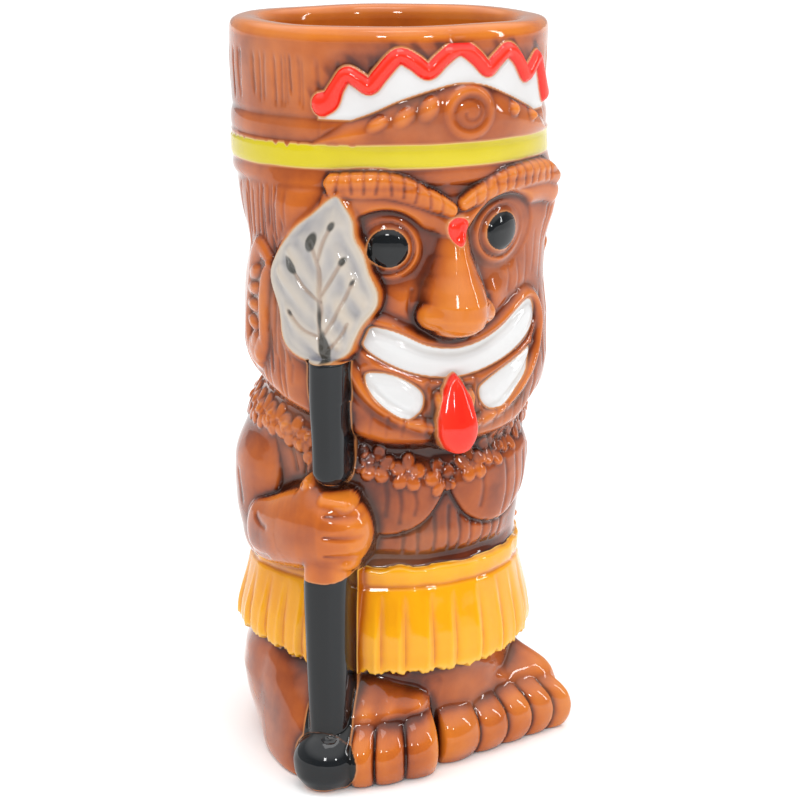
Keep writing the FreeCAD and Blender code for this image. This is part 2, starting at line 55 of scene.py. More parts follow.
WALL_TOP = 187.0
LIP_RISE = 3.8
INNER_LIP = 32.2

# --- the grid: fine where the figure is carved, coarser on the back ----------------------------------------

FINE = np.arange(-124.0, 100.0, 0.45)
COARSE = np.arange(100.0, 236.0, 0.85)
ANGLES = np.sort((np.concatenate([FINE, COARSE]) + 180.0) % 360.0 - 180.0)
HEIGHTS = np.linspace(0.0, WALL_TOP, 420)
A, Z = np.meshgrid(ANGLES, HEIGHTS, indexing="ij")


def wrap(angle):
    return (angle + 180.0) % 360.0 - 180.0


def chart(angle, height, scale=PER_DEGREE):
    """Distances in mm along and up the wall from a point on it."""
    return wrap(A - angle) * scale, Z - height


def smooth_step(value, low, high):
    share = np.clip((value - low) / (high - low), 0.0, 1.0)
    return share * share * (3 - 2 * share)


def smooth_max(a, b, k):
    h = np.clip(0.5 + 0.5 * (a - b) / k, 0.0, 1.0)
    return b + (a - b) * h + k * h * (1 - h)


def smooth_min(a, b, k):
    return -smooth_max(-a, -b, k)


def wave(seed, scale_a, scale_z, terms=9):
    """A smooth uneven field between about -1 and 1 that closes round the mug."""
    draw = np.random.default_rng(seed)
    total = np.zeros_like(A)
    for _ in range(terms):
        turns = max(1, round(360.0 / (scale_a * draw.uniform(0.7, 1.6))))
        rise = 2 * math.pi / (scale_z * draw.uniform(0.7, 1.8))
        total += np.sin(np.radians(A) * turns + Z * rise + draw.uniform(0, 6.283))
    return total / math.sqrt(terms)


def smooth_line(points, count, closed=False):
    """A Catmull-Rom line through the points, with count steps for each span."""
    spots = np.array(points, float)
    if closed:
        padded = np.vstack([spots[-1], spots, spots[0], spots[1]])
    else:
        padded = np.vstack([2 * spots[0] - spots[1], spots, 2 * spots[-1] - spots[-2]])
    line = []
    for i in range(len(padded) - 3):
        p0, p1, p2, p3 = padded[i : i + 4]
        for t in np.arange(count) / count:
            line.append(
                0.5
                * (
                    2 * p1
                    + (p2 - p0) * t
                    + (2 * p0 - 5 * p1 + 4 * p2 - p3) * t * t
                    + (3 * p1 - p0 - 3 * p2 + p3) * t**3
                )
            )
    if not closed:
        line.append(padded[-2])
    return np.array(line)


def near(points, margin):
    """The part of the grid that holds the points and a margin in mm round them, as an index."""
    spots = np.array(points, float)
    reach = margin / PER_DEGREE
    middle = (spots[:, 0].min() + spots[:, 0].max()) / 2
    half = (spots[:, 0].max() - spots[:, 0].min()) / 2 + reach
    rows = np.nonzero(np.abs(wrap(ANGLES - middle)) <= half)[0]
    low, high = spots[:, 1].min() - margin, spots[:, 1].max() + margin
    columns = np.nonzero((HEIGHTS >= low) & (HEIGHTS <= high))[0]
    return np.ix_(rows, columns)


def spine(points, widths, count=6, margin=9.0):
    """How far each grid point is from a smooth line, as a share of the line's half-width there, and the
    distance in mm inside that width. Widths are mm at the line's points."""
    share = np.full(A.shape, 50.0)
    depth = np.full(A.shape, -50.0)
    line = smooth_line([(a, z, w) for (a, z), w in zip(points, widths)], count)
    here = near(line[:, :2], margin + max(widths))
    best, inner = share[here], depth[here]
    angle, height = A[here], Z[here]
    for (a0, z0, w0), (a1, z1, w1) in zip(line[:-1], line[1:]):
        u, v = wrap(angle - a0) * PER_DEGREE, height - z0
        du, dv = wrap(a1 - a0) * PER_DEGREE, z1 - z0
        t = np.clip((u * du + v * dv) / max(du * du + dv * dv, 1e-9), 0.0, 1.0)
        width = w0 + (w1 - w0) * t
        distance = np.hypot(u - t * du, v - t * dv)
        closer = distance / width < best
        best = np.where(closer, distance / width, best)
        inner = np.where(closer, width - distance, inner)
    share[here], depth[here] = best, inner
    return share, depth


def area(points, count=5, margin=10.0, smooth=True):
    """Signed distance in mm to a closed outline of (angle, height) points, positive inside."""
    line = smooth_line(points, count, closed=True) if smooth else np.array(points, float)
    field = np.full(A.shape, -50.0)
    here = near(line, margin)
    angle, height = A[here], Z[here]
    distance = np.full(angle.shape, 1e3)
    inside = np.zeros(angle.shape, bool)
    middle = line[:, 0].mean()
    x = wrap(angle - middle) * PER_DEGREE
    for (a0, z0), (a1, z1) in zip(line, np.roll(line, -1, 0)):
        x0, x1 = wrap(a0 - middle) * PER_DEGREE, wrap(a1 - middle) * PER_DEGREE
        du, dv = x1 - x0, z1 - z0
        t = np.clip(((x - x0) * du + (height - z0) * dv) / max(du * du + dv * dv, 1e-9), 0.0, 1.0)
        distance = np.minimum(distance, np.hypot(x - x0 - t * du, height - z0 - t * dv))
        crosses = (z0 > height) != (z1 > height)
        if abs(dv) > 1e-9:
            inside ^= crosses & (x < x0 + (height - z0) / dv * du)
    field[here] = np.where(inside, distance, -distance)
    return field


def dome(share, power=2.0, flat=1.0):
    """The height of a bump: 1 on its spine, 0 at its edge, and falling away outside."""
    top = np.clip(1 - np.clip(share, 0, 1) ** power, 0, None) ** (flat / power)
    return np.where(share < 1, top, -(share - 1) * 2.2)


def ellipse(angle, height, across, up, turn=0.0):
    """Share of the way from an ellipse's middle to its edge, and the distance in mm inside it."""
    u, v = chart(angle, height)
    c, s = math.cos(math.radians(turn)), math.sin(math.radians(turn))
    u, v = c * u + s * v, c * v - s * u
    share = np.hypot(u / across, v / up)
    return share, (1 - share) * min(across, up)


relief = {"r": None, "body": None}
own = {}


def raise_to(height, share, base=None, k=1.2, power=2.0, flat=1.0):
    """Raises a bump over the smooth body, or over a given base, and blends its foot into what's there."""
    base = relief["body"] if base is None else base
    relief["r"] = smooth_max(relief["r"], base + height * dome(share, power, flat), k)


def carve(depth, distance, width):
    """Presses in a soft groove."""
    relief["r"] = relief["r"] - depth * np.exp(-((distance / width) ** 2))


def groove(points, depth, width, count=4):
    share, _ = spine(points, [width] * len(points), count, margin=3 * width)
    carve(depth, share * width, width)


def claim(name, depth):
    own[name] = depth if name not in own else np.maximum(own[name], depth)


CLEFT = -4.2  # the angle of the gap between the feet

# --- the body of the mug -----------------------------------------------------------------------------------

PROFILE = [
    (0, 36.2), (4, 37.2), (10, 38.6), (18, 39.8), (24, 39.0), (30, 36.8), (44, 35.8), (52, 35.6), (58, 35.4),
    (64, 36.2), (72, 36.6), (80, 36.4), (86, 36.2), (92, 36.7), (98, 37.0), (108, 37.2), (118, 37.0),
    (128, 36.9), (137, 37.2), (149, 38.1), (154, 38.6), (158, 39.2), (165, 39.2), (172, 39.5), (180, 39.9),
    (187, 39.9),
]  # fmt: skip
FRONT = [
    (0, 36.2), (10, 36.6), (26, 35.0), (44, 33.4), (52, 33.2), (58, 33.4), (64, 34.3), (72, 34.7), (80, 34.9),
    (86, 35.8), (92, 38.6), (98, 39.7), (104, 40.6), (115, 40.9), (126, 39.7), (134, 39.9), (141, 41.2),
    (148, 41.6),
    (152, 41.2), (157, 40.2), (162, 39.6), (172, 39.5), (187, 39.9),
]  # fmt: skip


def smooth_profile(stations, heights):
    spots = np.array(stations, float)
    value = np.interp(heights, spots[:, 0], spots[:, 1])
    kernel = np.hanning(9)
    kernel /= kernel.sum()
    line = np.interp(HEIGHTS, spots[:, 0], spots[:, 1])
    line = np.convolve(np.pad(line, 4, mode="edge"), kernel, mode="valid")
    return np.interp(heights, HEIGHTS, line) if heights is not HEIGHTS else line + 0 * value


NECK = [(0, 86.0), (25, 86.6), (36, 88.6), (46, 91.4), (60, 93.6), (75, 95.4), (90, 96.8), (118, 98.0),
    (180, 98.2)]


def neck_line():
    """The height of the crease under the head over each angle."""
    line = np.array(NECK, float)
    rounded = np.interp(np.arange(0, 181), line[:, 0], line[:, 1])
    kernel = np.hanning(13)
    rounded = np.convolve(np.pad(rounded, 6, mode="edge"), kernel / kernel.sum(), mode="valid")
    return np.interp(np.abs(A), np.arange(0, 181), rounded)


def make_body():
    away = np.abs(A)
    back, front = smooth_profile(PROFILE, Z), smooth_profile(FRONT, Z)
    torso = 1 - smooth_step(away, 66, 106)
    temples = np.exp(-(((away - 61) / 22) ** 2))
    up = smooth_step(Z, 88, 97)
    body = back + (front - back) * (torso * (1 - up) + temples * up)
    above = Z - neck_line()
    rounding = 2.4 + 2.8 * smooth_step(away, 50, 90)
    crease = np.where(above < 0, np.exp(-((above / 5.0) ** 2)), np.exp(-((above / rounding) ** 2)))
    body = body - (2.6 + 1.7 * smooth_step(away, 28, 58)) * crease
    jaw = np.exp(-(((above - 9.0) / 6.5) ** 2)) * (1 - smooth_step(away, 34, 70))
    body = body + 1.4 * jaw
    hollow = smooth_step(away, 88, 104) * (1 - smooth_step(away, 124, 150))
    body = body - 1.5 * hollow * np.exp(-(((Z - 134.0) / 6.5) ** 2))
    # the legs: a dip between them in front and behind
    low = 1 - smooth_step(Z, 22, 31)
    body = body - 3.4 * (1 - smooth_step(np.abs(A - CLEFT), 2, 16)) * low
    body = body - 1.5 * np.exp(-(((180 - away) / 10.0) ** 2)) * low
    # in front the legs stand back behind the feet
    standing_back = 1 - smooth_step(away, 46, 86)
    body = body - standing_back * low * np.clip(body - 32.4, 0, None)
    # the soles are drawn in at the back
    body = body - smooth_step(away, 70, 150) * (1 - smooth_step(Z, 0, 14)) * 1.6
    body = body + 0.16 * wave(3, 40, 46)
    relief["body"] = body
    relief["r"] = body.copy()
    own["cup"] = np.zeros_like(A)


BARK = []


def bark(angles, heights, count, length, depth, seed, width=0.55):
    """Scratches up and down the wood, each a little bent, tapering at both ends."""
    draw = np.random.default_rng(seed)
    for _ in range(count):
        a = draw.uniform(*angles)
        tall = draw.uniform(*length)
        low = draw.uniform(heights[0], max(heights[0] + 0.1, heights[1] - tall))
        lean = draw.normal(0, 0.5)
        BARK.append((a, low, min(low + tall, heights[1]), lean, depth * draw.uniform(0.55, 1.15),
                     width * draw.uniform(0.8, 1.5)))  # fmt: skip


def press_bark(free):
    """Presses the scratches into the wood where no feature covers it."""
    total = np.zeros_like(A)
    for a, low, high, lean, depth, width in BARK:
        here = near([(a - 2, low), (a + 2, high)], 3.0)
        angle, height = A[here], Z[here]
        rise = (height - low) / (high - low)
        bend = 0.6 * lean * (rise - 0.5) + 0.2 * np.sin(rise * 4 + a)
        u = (wrap(angle - a) - bend) * PER_DEGREE
        ends = smooth_step(rise, -0.04, 0.18) * (1 - smooth_step(rise, 0.8, 1.04))
        total[here] = np.maximum(total[here], depth * ends * np.exp(-((u / width) ** 2)))
    relief["r"] = relief["r"] - total * free


# --- crown and bands ---------------------------------------------------------------------------------------


def make_bands():
    """The roll of the hat, the painted band below it and the wooden edge under that, a little askew."""
    r = relief["r"]
    uneven = 0.28 * wave(5, 24, 300)
    askew = -1.6 + 0.9 * np.cos(np.radians(A - 10))
    top, bottom = 164.2 + askew, 158.4 + askew
    middle, half = (168.9 + top) / 2, (168.9 - top) / 2
    r = smooth_max(r, 38.7 + 1.3 * dome(np.abs(Z - bottom + 1.8) / 2.8), 1.0)
    r = smooth_max(r, 38.3 + 1.9 * dome(np.abs(Z - middle - 0.3 * uneven) / half, 2.2), 0.7)
    r = smooth_max(r, 38.5 + 1.8 * dome(np.abs(Z - (top + bottom) / 2) / 3.6, 3.0), 0.7)
    relief["r"] = r
    carve(0.3, Z - bottom + 4.6, 0.8)
    carve(0.3, Z - top, 0.45)
    carve(0.5, Z - 169.2, 0.7)
    notches = 0.55 * np.clip(wave(8, 6, 400), 0, 2) * smooth_step(np.abs(A + 88), 60, 30)
    claim("hat_roll", np.minimum(169.0 - Z, Z - 159.0))
    claim("band_edge", np.minimum(159.5 - Z, Z - bottom + 4.3))
    claim("headband", np.minimum(top - notches + 0.3 * uneven - Z, Z - bottom - 0.3 * uneven))


ZIGZAG = [
    (-47.8, 172.6), (-44.9, 173.6), (-42.4, 176.8), (-39.0, 179.8), (-35.0, 178.6), (-31.0, 177.1),
    (-27.2, 180.1),
    (-21.5, 184.2), (-16.2, 182.8), (-11.2, 180.5), (-6.6, 183.2), (-1.8, 185.6), (1.8, 185.6), (6.6, 183.2),
    (11.2, 180.5), (15.6, 182.6), (20.5, 184.6), (25.5, 182.6), (31.0, 178.2), (35.2, 179.8), (39.3, 181.8),
    (42.8, 178.0), (45.6, 174.8), (48.0, 172.6),
]  # fmt: skip


def line_height(points):
    """The height of a line of points over each angle of the grid."""
    line = smooth_line(points, 6)
    order = np.argsort(line[:, 0])
    return np.interp(A, line[order, 0], line[order, 1])


def make_crown():
    zigzag = line_height(ZIGZAG)
    mound_top = line_height(
        [(-52, 163.5), (-46, 166.2), (-40, 168.2), (-30, 170.8), (-21, 173.6), (-10, 176.0), (0, 177.4),
         (10, 176.6), (21, 173.8), (30, 171.4), (40, 168.8), (46, 166.8), (52, 164.5)]
    )  # fmt: skip
    crown = 49.5 - np.abs(A)
    # the wood is pressed in above the zigzag's valleys, up to the lip
    valley = np.clip((185.4 - zigzag) / 5.0, 0, 1)
    shade = smooth_step(Z - zigzag, 0.8, 3.0) * (1 - smooth_step(Z, 182.5, 186.0)) * smooth_step(crown, 0, 9)
    relief["r"] = relief["r"] - 1.1 * shade * valley
    panel = np.minimum(np.minimum(zigzag - Z, Z - mound_top + 0.6), crown * 0.7)
    relief["r"] = relief["r"] + 0.25 * smooth_step(panel, 0, 1.2)
    claim("crown_panel", panel)
    mound = np.minimum(mound_top - Z, Z - 162.0)
    rise = np.clip(mound / 6.5, 0, 1)
    relief["r"] = smooth_max(relief["r"], 38.9 + 3.0 * np.where(mound > 0, np.sqrt(rise * (2 - rise)),
        mound), 0.8)
    claim("hair_mound", np.minimum(mound + 0.2, Z - 163.6))
    # beads and leaves on the mound
    for a, z, size in ((22.5, 170.4, 2.2), (33.4, 168.2, 1.7)):
        share, inside = ellipse(a, z, size, size)
        raise_to(3.9, share, 39.0 + 0 * A, 0.8)
        claim("hair_beads", inside + 0.5)
    for a, z, across, up, turn in ((-11.5, 171.6, 2.6, 4.0, -34), (-19.6, 169.8, 2.3, 3.7, -48),
            (-28.4, 168.2, 1.9, 3.4, -60)):
        share, inside = ellipse(a, z, across, up, turn)
        raise_to(3.5, share, 39.2 + 0 * A, 1.1)
        claim("hair_beads", inside + 0.3)
    disc, inside = ellipse(3.2, 170.6, 6.9, 6.5)
    distance = disc * 6.7
    ring = np.exp(-(((distance - 5.3) / 1.2) ** 2))
    button = np.sqrt(np.clip(1 - (distance / 3.6) ** 2, 0, 1))
    turn = np.arctan2(Z - 170.6, wrap(A - 3.2) * PER_DEGREE)
    coil = np.exp(-(((distance - 1.2 - 0.42 * (turn + math.pi)) / 0.5) ** 2)) * (distance < 4.4)
    face = 41.4 + 0.75 * ring + 0.7 * button - 0.35 * coil
    lifted = smooth_max(relief["r"], face - 6 * np.clip(disc - 0.95, 0, 1), 0.8)
    relief["r"] = np.where(disc < 1.3, lifted, relief["r"])
    claim("medallion", inside + 0.5)
    # the red bead along the top of the panel
    share, inside = spine(ZIGZAG, [2.9, 2.5] + [1.95] * (len(ZIGZAG) - 4) + [2.2, 2.4], 5)
    raise_to(2.1, share, 39.5 + 0 * A, 0.6)
    claim("crown_zigzag", inside + 0.1)
    relief["r"] = relief["r"] + (relief["body"] - relief["r"]) * smooth_step(Z, 185.2, 187.0)


# --- the face ----------------------------------------------------------------------------------------------

EYES = (("eye_right", "pupil_right", -1, -25.4, 138.2, 1.0), ("eye_left", "pupil_left", 1, 22.0, 140.4, 1.16))


def make_sockets():
    for _, _, side, a, z, _ in EYES:
        share, _ = ellipse(a, z - 0.6, 12.6, 10.6)
        relief["r"] = relief["r"] - 1.9 * (1 - smooth_step(share, 0.4, 1.05))
        share, _ = ellipse(side * 57.0, 146.0, 9.5, 12.0, side * 10)
        relief["r"] = relief["r"] + 1.7 * (1 - smooth_step(share, 0.0, 1.2))


BROWS = (
    ("brow_right", [(-3.2, 147.4, 1.9), (-7.5, 149.0, 2.5), (-13.5, 150.9, 2.9), (-20.0, 152.8, 3.3),
                    (-26.0, 153.7, 3.4), (-34.0, 153.7, 3.5), (-43.0, 153.8, 2.9)]),
    ("brow_left", [(2.4, 148.6, 1.8), (7.0, 150.0, 2.4), (14.4, 151.9, 2.9), (22.0, 153.3, 3.2),
                   (30.0, 153.7, 3.3), (38.0, 153.8, 3.2), (46.0, 153.4, 3.1), (53.0, 151.8, 2.6)]),
)  # fmt: skip


def make_brows():
    for name, line in BROWS:
        path = [(a, z) for a, z, _ in line]
        widths = [w for _, _, w in line]
        # the shelf that hangs over the eye
        under = [(a, z - 4.2) for a, z in path]
        share, inside = spine(under, [w + 0.5 for w in widths])
        raise_to(2.9, share, relief["body"] - 0.5, 2.8)
        claim(name, inside)
        share, inside = spine(path, widths)
        raise_to(3.9, share, relief["body"] - 0.3, 1.8, 2.6)
        claim(name, inside + 0.7)
        side = 1 if path[0][0] > 0 else -1
        order = sorted(line)
        for i, a in enumerate(np.arange(6.5, 47.0, 4.4)):
            z = np.interp(side * a, [p[0] for p in order], [p[1] for p in order])
            lean = 0.5 * math.sin(i * 2.1)
            groove([(side * (a + lean), z + 3.2), (side * (a - 0.2), z + 0.8),
                (side * (a - lean), z - 1.8)], 0.42, 0.5)


def make_eyes():
    for eye, pupil, side, a, z, wide in EYES:
        share, inside = ellipse(a, z, 8.6 * wide, 7.9, side * 6)
        distance = share * 8.2
        lid = np.exp(-(((distance - 7.3) / 1.0) ** 2))
        ball = np.sqrt(np.clip(1 - (distance / 6.7) ** 2, 0, 1))
        # the eyeball faces forwards, so its surface falls back towards the temple
        tilt = -side * wrap(A - a) * PER_DEGREE * 0.07
        face = 37.0 + tilt + 1.1 * lid + 2.5 * ball
        mask = 1 - smooth_step(distance, 8.2, 10.6)
        relief["r"] = relief["r"] * (1 - mask) + face * mask
        carve(0.5, distance - 6.3, 0.5)
        carve(0.35, distance - 9.2, 0.8)
        claim(eye, inside + 0.9)
        _, inside = ellipse(a - side * 0.4, z, 5.1 * wide, 4.7)
        relief["r"] = relief["r"] + 0.3 * smooth_step(inside, -0.3, 1.2)
        claim(pupil, inside)


NOSE = [
    (150.0, 3.2, 1.0), (146.0, 3.4, 2.2), (141.0, 4.0, 3.8), (136.0, 5.0, 5.6), (131.5, 6.9, 7.6),
    (128.0, 8.9, 9.4),
    (124.5, 10.5, 10.9), (121.0, 10.6, 11.3), (118.6, 9.6, 10.2), (117.0, 7.8, 7.8), (115.8, 5.8, 3.8),
    (114.6, 4.4, 0.0),
]  # fmt: skip


def make_nose():
    stations = np.array(NOSE)[::-1]
    width = np.interp(Z, stations[:, 0], stations[:, 1])
    height = np.interp(Z, stations[:, 0], stations[:, 2])
    across = np.abs(48.0 * np.sin(np.radians(A)) + 0.4)
    # the bridge is a wide soft ridge, the tip rounder and steeper
    bridge = smooth_step(Z, 121, 133)
    share = across / (width * (1 + 0.3 * bridge))
    shape = np.where(share < 1, np.clip(1 - share**2.1, 0, 1) ** (0.75 + 0.35 * bridge), -(share - 1) * 1.6)
    band = smooth_step(Z, 113.6, 115.2) * (1 - smooth_step(Z, 149.0, 151.5))
    target = 37.1 + (height + 0.6) * shape
    target = np.where((np.abs(A) < 40) & (band > 0), target - (1 - band) * 3, -1e3)
    relief["r"] = smooth_max(relief["r"], target, 4.6)
    inside = np.minimum(width + 0.9 - across, np.minimum(Z - 115.3, 150.2 - Z))
    claim("nose", np.where(np.abs(A) < 40, inside, -50.0))
    for side in (-1, 1):
        share, _ = ellipse(side * 9.4, 121.6, 4.0, 3.9)
        raise_to(7.4, share, 37.0 + 0 * A, 3.2)
    groove([(-16.4, 127.4), (-17.4, 122.5), (-13.4, 117.6)], 0.5, 0.8)
    groove([(15.6, 124.4), (16.4, 121.0), (13.4, 117.6)], 0.35, 0.8)
    point = (1 - np.hypot(wrap(A + 0.3) * PER_DEGREE / (2.8 + 0.26 * (Z - 142.0)), (Z - 142.0) / 3.6)) * 2.8
    point = np.where((np.abs(A) < 12) & (np.abs(Z - 142) < 6), point, -50.0)
    relief["r"] = relief["r"] + 0.4 * smooth_step(point, -0.2, 1.1)
    claim("nose_mark", point)


TEETH = [
    (-34.0, 116.0), (-31.2, 118.4), (-26.2, 118.2), (-20.4, 117.0), (-10.5, 113.8), (0.0, 112.6),
    (10.0, 113.3),
    (19.0, 115.2), (28.0, 118.4), (36.0, 121.0), (41.0, 120.8), (43.2, 117.6), (39.6, 112.9), (30.5, 109.4),
    (18.0, 106.8), (5.0, 105.4), (-6.0, 105.6), (-17.0, 107.2), (-27.0, 110.2), (-33.4, 113.4),
]  # fmt: skip
LOWER = (
    [(39.6, 108.6), (33.6, 107.4), (23.5, 105.2), (14.5, 102.8), (11.2, 101.2), (11.6, 98.2), (15.6, 96.0),
     (21.8, 96.4), (30.0, 99.8), (36.6, 103.6)],
    [(-33.4, 106.6), (-29.0, 107.2), (-22.0, 106.2), (-15.0, 103.6), (-12.0, 101.0), (-12.8, 97.8),
    (-16.4, 95.8),
     (-21.0, 96.2), (-27.6, 99.4), (-31.8, 102.8)],
)  # fmt: skip
MOUTH = [
    (-41.0, 119.0), (-35.5, 122.0), (-27.0, 121.4), (-18.0, 118.6), (-9.0, 115.9), (0.0, 115.0), (9.0, 115.6),
    (19.0, 118.2), (29.5, 122.0), (39.0, 124.2), (46.5, 121.6), (49.5, 115.0), (46.0, 106.6), (38.0, 100.4),
    (27.0, 95.4), (14.0, 92.4), (0.0, 90.6), (-14.0, 92.2), (-25.0, 95.4), (-34.0, 100.4), (-40.5, 107.0),
    (-43.6, 113.6),
]  # fmt: skip


def make_mouth():
    mouth = area(MOUTH, 6)
    teeth = area(TEETH, 6)
    lower = np.maximum(area(LOWER[0], 6), area(LOWER[1], 6))
    cheeks = [(18.5, 124.6, 7.5, 6.0, 1.5), (31.0, 127.4, 9.0, 6.0, 0.8)]
    for a, z, across, up, height in cheeks:
        for side in (-1, 1):
            share, _ = ellipse(side * a, z, across, up, -side * 20)
            relief["r"] = relief["r"] + height * np.clip(1 - share**2, 0, 1) ** 2
    # the lips' raised edge round the whole mouth
    lip = np.exp(-(((mouth - 1.5) / 1.8) ** 2))
    relief["r"] = relief["r"] + 1.4 * lip + 0.6 * smooth_step(mouth, -1.0, 3.0)
    carve(0.5, mouth + 1.0, 0.9)
    carve(0.5, mouth - 3.8, 0.8)
    # teeth, and the ridge between the rows
    ridge = np.exp(-(((teeth + 1.5) / 0.9) ** 2)) * smooth_step(mouth, 2.0, 4.0)
    relief["r"] = relief["r"] + 0.45 * ridge
    carve(0.34, teeth + 0.3, 0.45)
    relief["r"] = relief["r"] + 0.8 * smooth_step(teeth, 0, 3.4)
    ridge = np.exp(-(((lower + 1.6) / 1.0) ** 2)) * smooth_step(mouth, 2.0, 4.0) * smooth_step(-teeth, 1.0,
        2.4)
    relief["r"] = relief["r"] + 0.4 * ridge
    carve(0.38, lower + 0.25, 0.5)
    relief["r"] = relief["r"] + 0.7 * smooth_step(lower, 0, 2.8)
    claim("lips", mouth + 0.4)
    claim("upper_teeth", teeth)
    claim("lower_teeth_left", np.where(A > 0, lower, -50.0))
    claim("lower_teeth_right", np.where(A < 0, lower, -50.0))
    # the pad behind the tongue, then the tongue
    pad = area([(-9.4, 105.0), (9.0, 105.0), (10.4, 96.0), (9.6, 89.0), (4.0, 85.8), (-5.0, 85.8),
        (-10.4, 89.0),
                (-11.2, 96.0)], 5)  # fmt: skip
    rise = smooth_step(pad, -0.6, 3.4) * (1 - smooth_step(Z, 100.0, 106.5))
    relief["r"] = smooth_max(relief["r"], 32.0 + (9.4 + 1.4 * smooth_step(96 - Z, 0, 8)) * rise, 1.4)
    carve(0.4, pad - 0.2, 0.8)
    claim("lips", np.minimum(pad + 0.6, 104 - Z))
    tongue = area([(-0.7, 106.6), (3.3, 103.4), (6.0, 97.6), (6.6, 91.6), (3.6, 87.4), (-0.6, 86.3),
        (-4.8, 87.4),
                   (-7.9, 91.6), (-7.3, 97.6), (-4.6, 103.4)], 6)  # fmt: skip
    rise = np.clip(tongue / 5.4, 0, 1)
    face = 39.6 + 2.6 * smooth_step(105 - Z, 0, 13) + 2.2 * np.sqrt(rise * (2 - rise))
    share = smooth_step(tongue, -0.4, 0.7)
    relief["r"] = relief["r"] * (1 - share) + face * share
    groove([(-0.6, 103.0), (-0.4, 99.0), (-0.6, 95.6)], 0.22, 1.0)
    claim("tongue", tongue)
    # ticks along the jaw
    for a in (-38, -31.5, -25.5, -19.5, 17.5, 23.5, 29.5, 36, 42, 48):
        foot = 90.0 + 0.0011 * a * a
        groove([(a + 0.6, foot + 5.4), (a, foot + 2.8), (a - 0.5, foot + 0.6)], 0.4, 0.55)
    # folds in the wood of the cheeks under the eyes
    for a, low, high in ((27, 125, 131), (33, 124, 132), (38.5, 126, 135), (44, 128, 138), (50, 126, 140)):
        for side in (-1, 1):
            groove([(side * a, high), (side * (a + 0.8), (low + high) / 2), (side * a, low)], 0.28, 0.6)


def make_ears():
    """A curled ear: an outer roll, an inner roll beside the temple, knobs between them and a lobe."""
    outer = [(71.6, 133.6), (77.0, 135.8), (83.0, 133.2), (87.8, 128.2), (91.2, 122.4), (92.8, 116.2),
        (91.2, 110.8),
             (86.2, 107.6), (80.4, 107.0)]  # fmt: skip
    inner = [(71.0, 131.6), (74.6, 128.0), (76.2, 122.8), (75.6, 117.4), (75.2, 112.4), (77.8, 108.6)]
    for side, name in ((-1, "ear_right"), (1, "ear_left")):
        rim = [(side * a, z) for a, z in outer]
        fold = [(side * a, z) for a, z in inner]
        shell = area([(side * a, z) for a, z in outer + inner[::-1][1:-1]], 4)
        relief["r"] = relief["r"] + 1.0 * smooth_step(shell, -2.4, 1.0)
        share, inside = spine(rim, [2.0, 2.8, 3.1, 3.1, 3.1, 3.0, 2.9, 2.8, 2.6])
        raise_to(2.0, share, relief["body"] - 0.1, 1.8)
        claim(name, inside + 0.4)
        share, inside = spine(fold, [1.8, 2.3, 2.5, 2.5, 2.4, 2.3])
        raise_to(2.1, share, relief["body"] - 0.1, 1.8)
        claim(name, inside + 0.4)
        claim(name, shell)
        share, _ = ellipse(side * 82.0, 110.6, 4.6, 3.8)
        raise_to(2.4, share, relief["body"] - 0.2, 2.0)
        for a, z, turn in ((82.4, 129.0, 30), (84.6, 124.6, 14), (85.6, 120.2, 0), (85.2, 115.8, -12)):
            share, _ = ellipse(side * a, z, 4.2, 2.1, -side * turn)
            raise_to(2.5, share, relief["body"] - 0.2, 1.0)


# --- the spear ---------------------------------------------------------------------------------------------

BLADE = [
    (-42.6, 151.0), (-39.4, 149.0), (-36.6, 145.4), (-35.9, 141.2), (-33.0, 137.2), (-31.2, 132.6),
    (-28.4, 128.0),
    (-28.9, 124.2), (-33.4, 119.8), (-36.0, 116.0), (-38.4, 112.6), (-45.0, 110.2), (-53.4, 110.4),
    (-59.6, 112.4),
    (-62.6, 115.6), (-63.9, 122.0), (-67.8, 129.8), (-64.6, 136.0), (-57.4, 142.2), (-50.4, 146.4),
]  # fmt: skip
VEINS = [
    ([(-45.9, 111.0), (-47.3, 118.0), (-46.9, 125.7), (-47.8, 134.0), (-50.3, 139.8)], 0.8),
    ([(-47.2, 125.4), (-53.6, 128.6), (-58.2, 133.6)], 0.65),
    ([(-47.8, 116.6), (-53.7, 118.2), (-59.2, 122.0)], 0.6),
    ([(-47.7, 135.6), (-46.1, 140.0), (-43.6, 143.8)], 0.6),
    ([(-46.4, 127.2), (-43.6, 130.8), (-39.8, 135.4)], 0.6),
    ([(-45.4, 117.8), (-41.3, 123.2), (-36.2, 130.6)], 0.6),
    ([(-45.6, 112.8), (-41.6, 116.0), (-38.0, 120.4)], 0.5),
]
DOTS = [
    (-50.3, 139.8, 1.3, 2.4, -20), (-58.4, 133.6, 1.4, 2.3, 35), (-43.4, 143.9, 0.7, 1.2, -30),
    (-39.6, 135.6, 0.7, 1.1, -30),
    (-36.4, 130.6, 0.4, 0.8, -30), (-45.9, 113.2, 1.2, 5.2, 6), (-58.8, 121.8, 0.4, 0.8, 40),
    (-47.4, 121.0, 0.4, 3.4, 4),
]  # fmt: skip
vein_field = np.full(A.shape, 9.0)
dot_field = np.full(A.shape, 9.0)


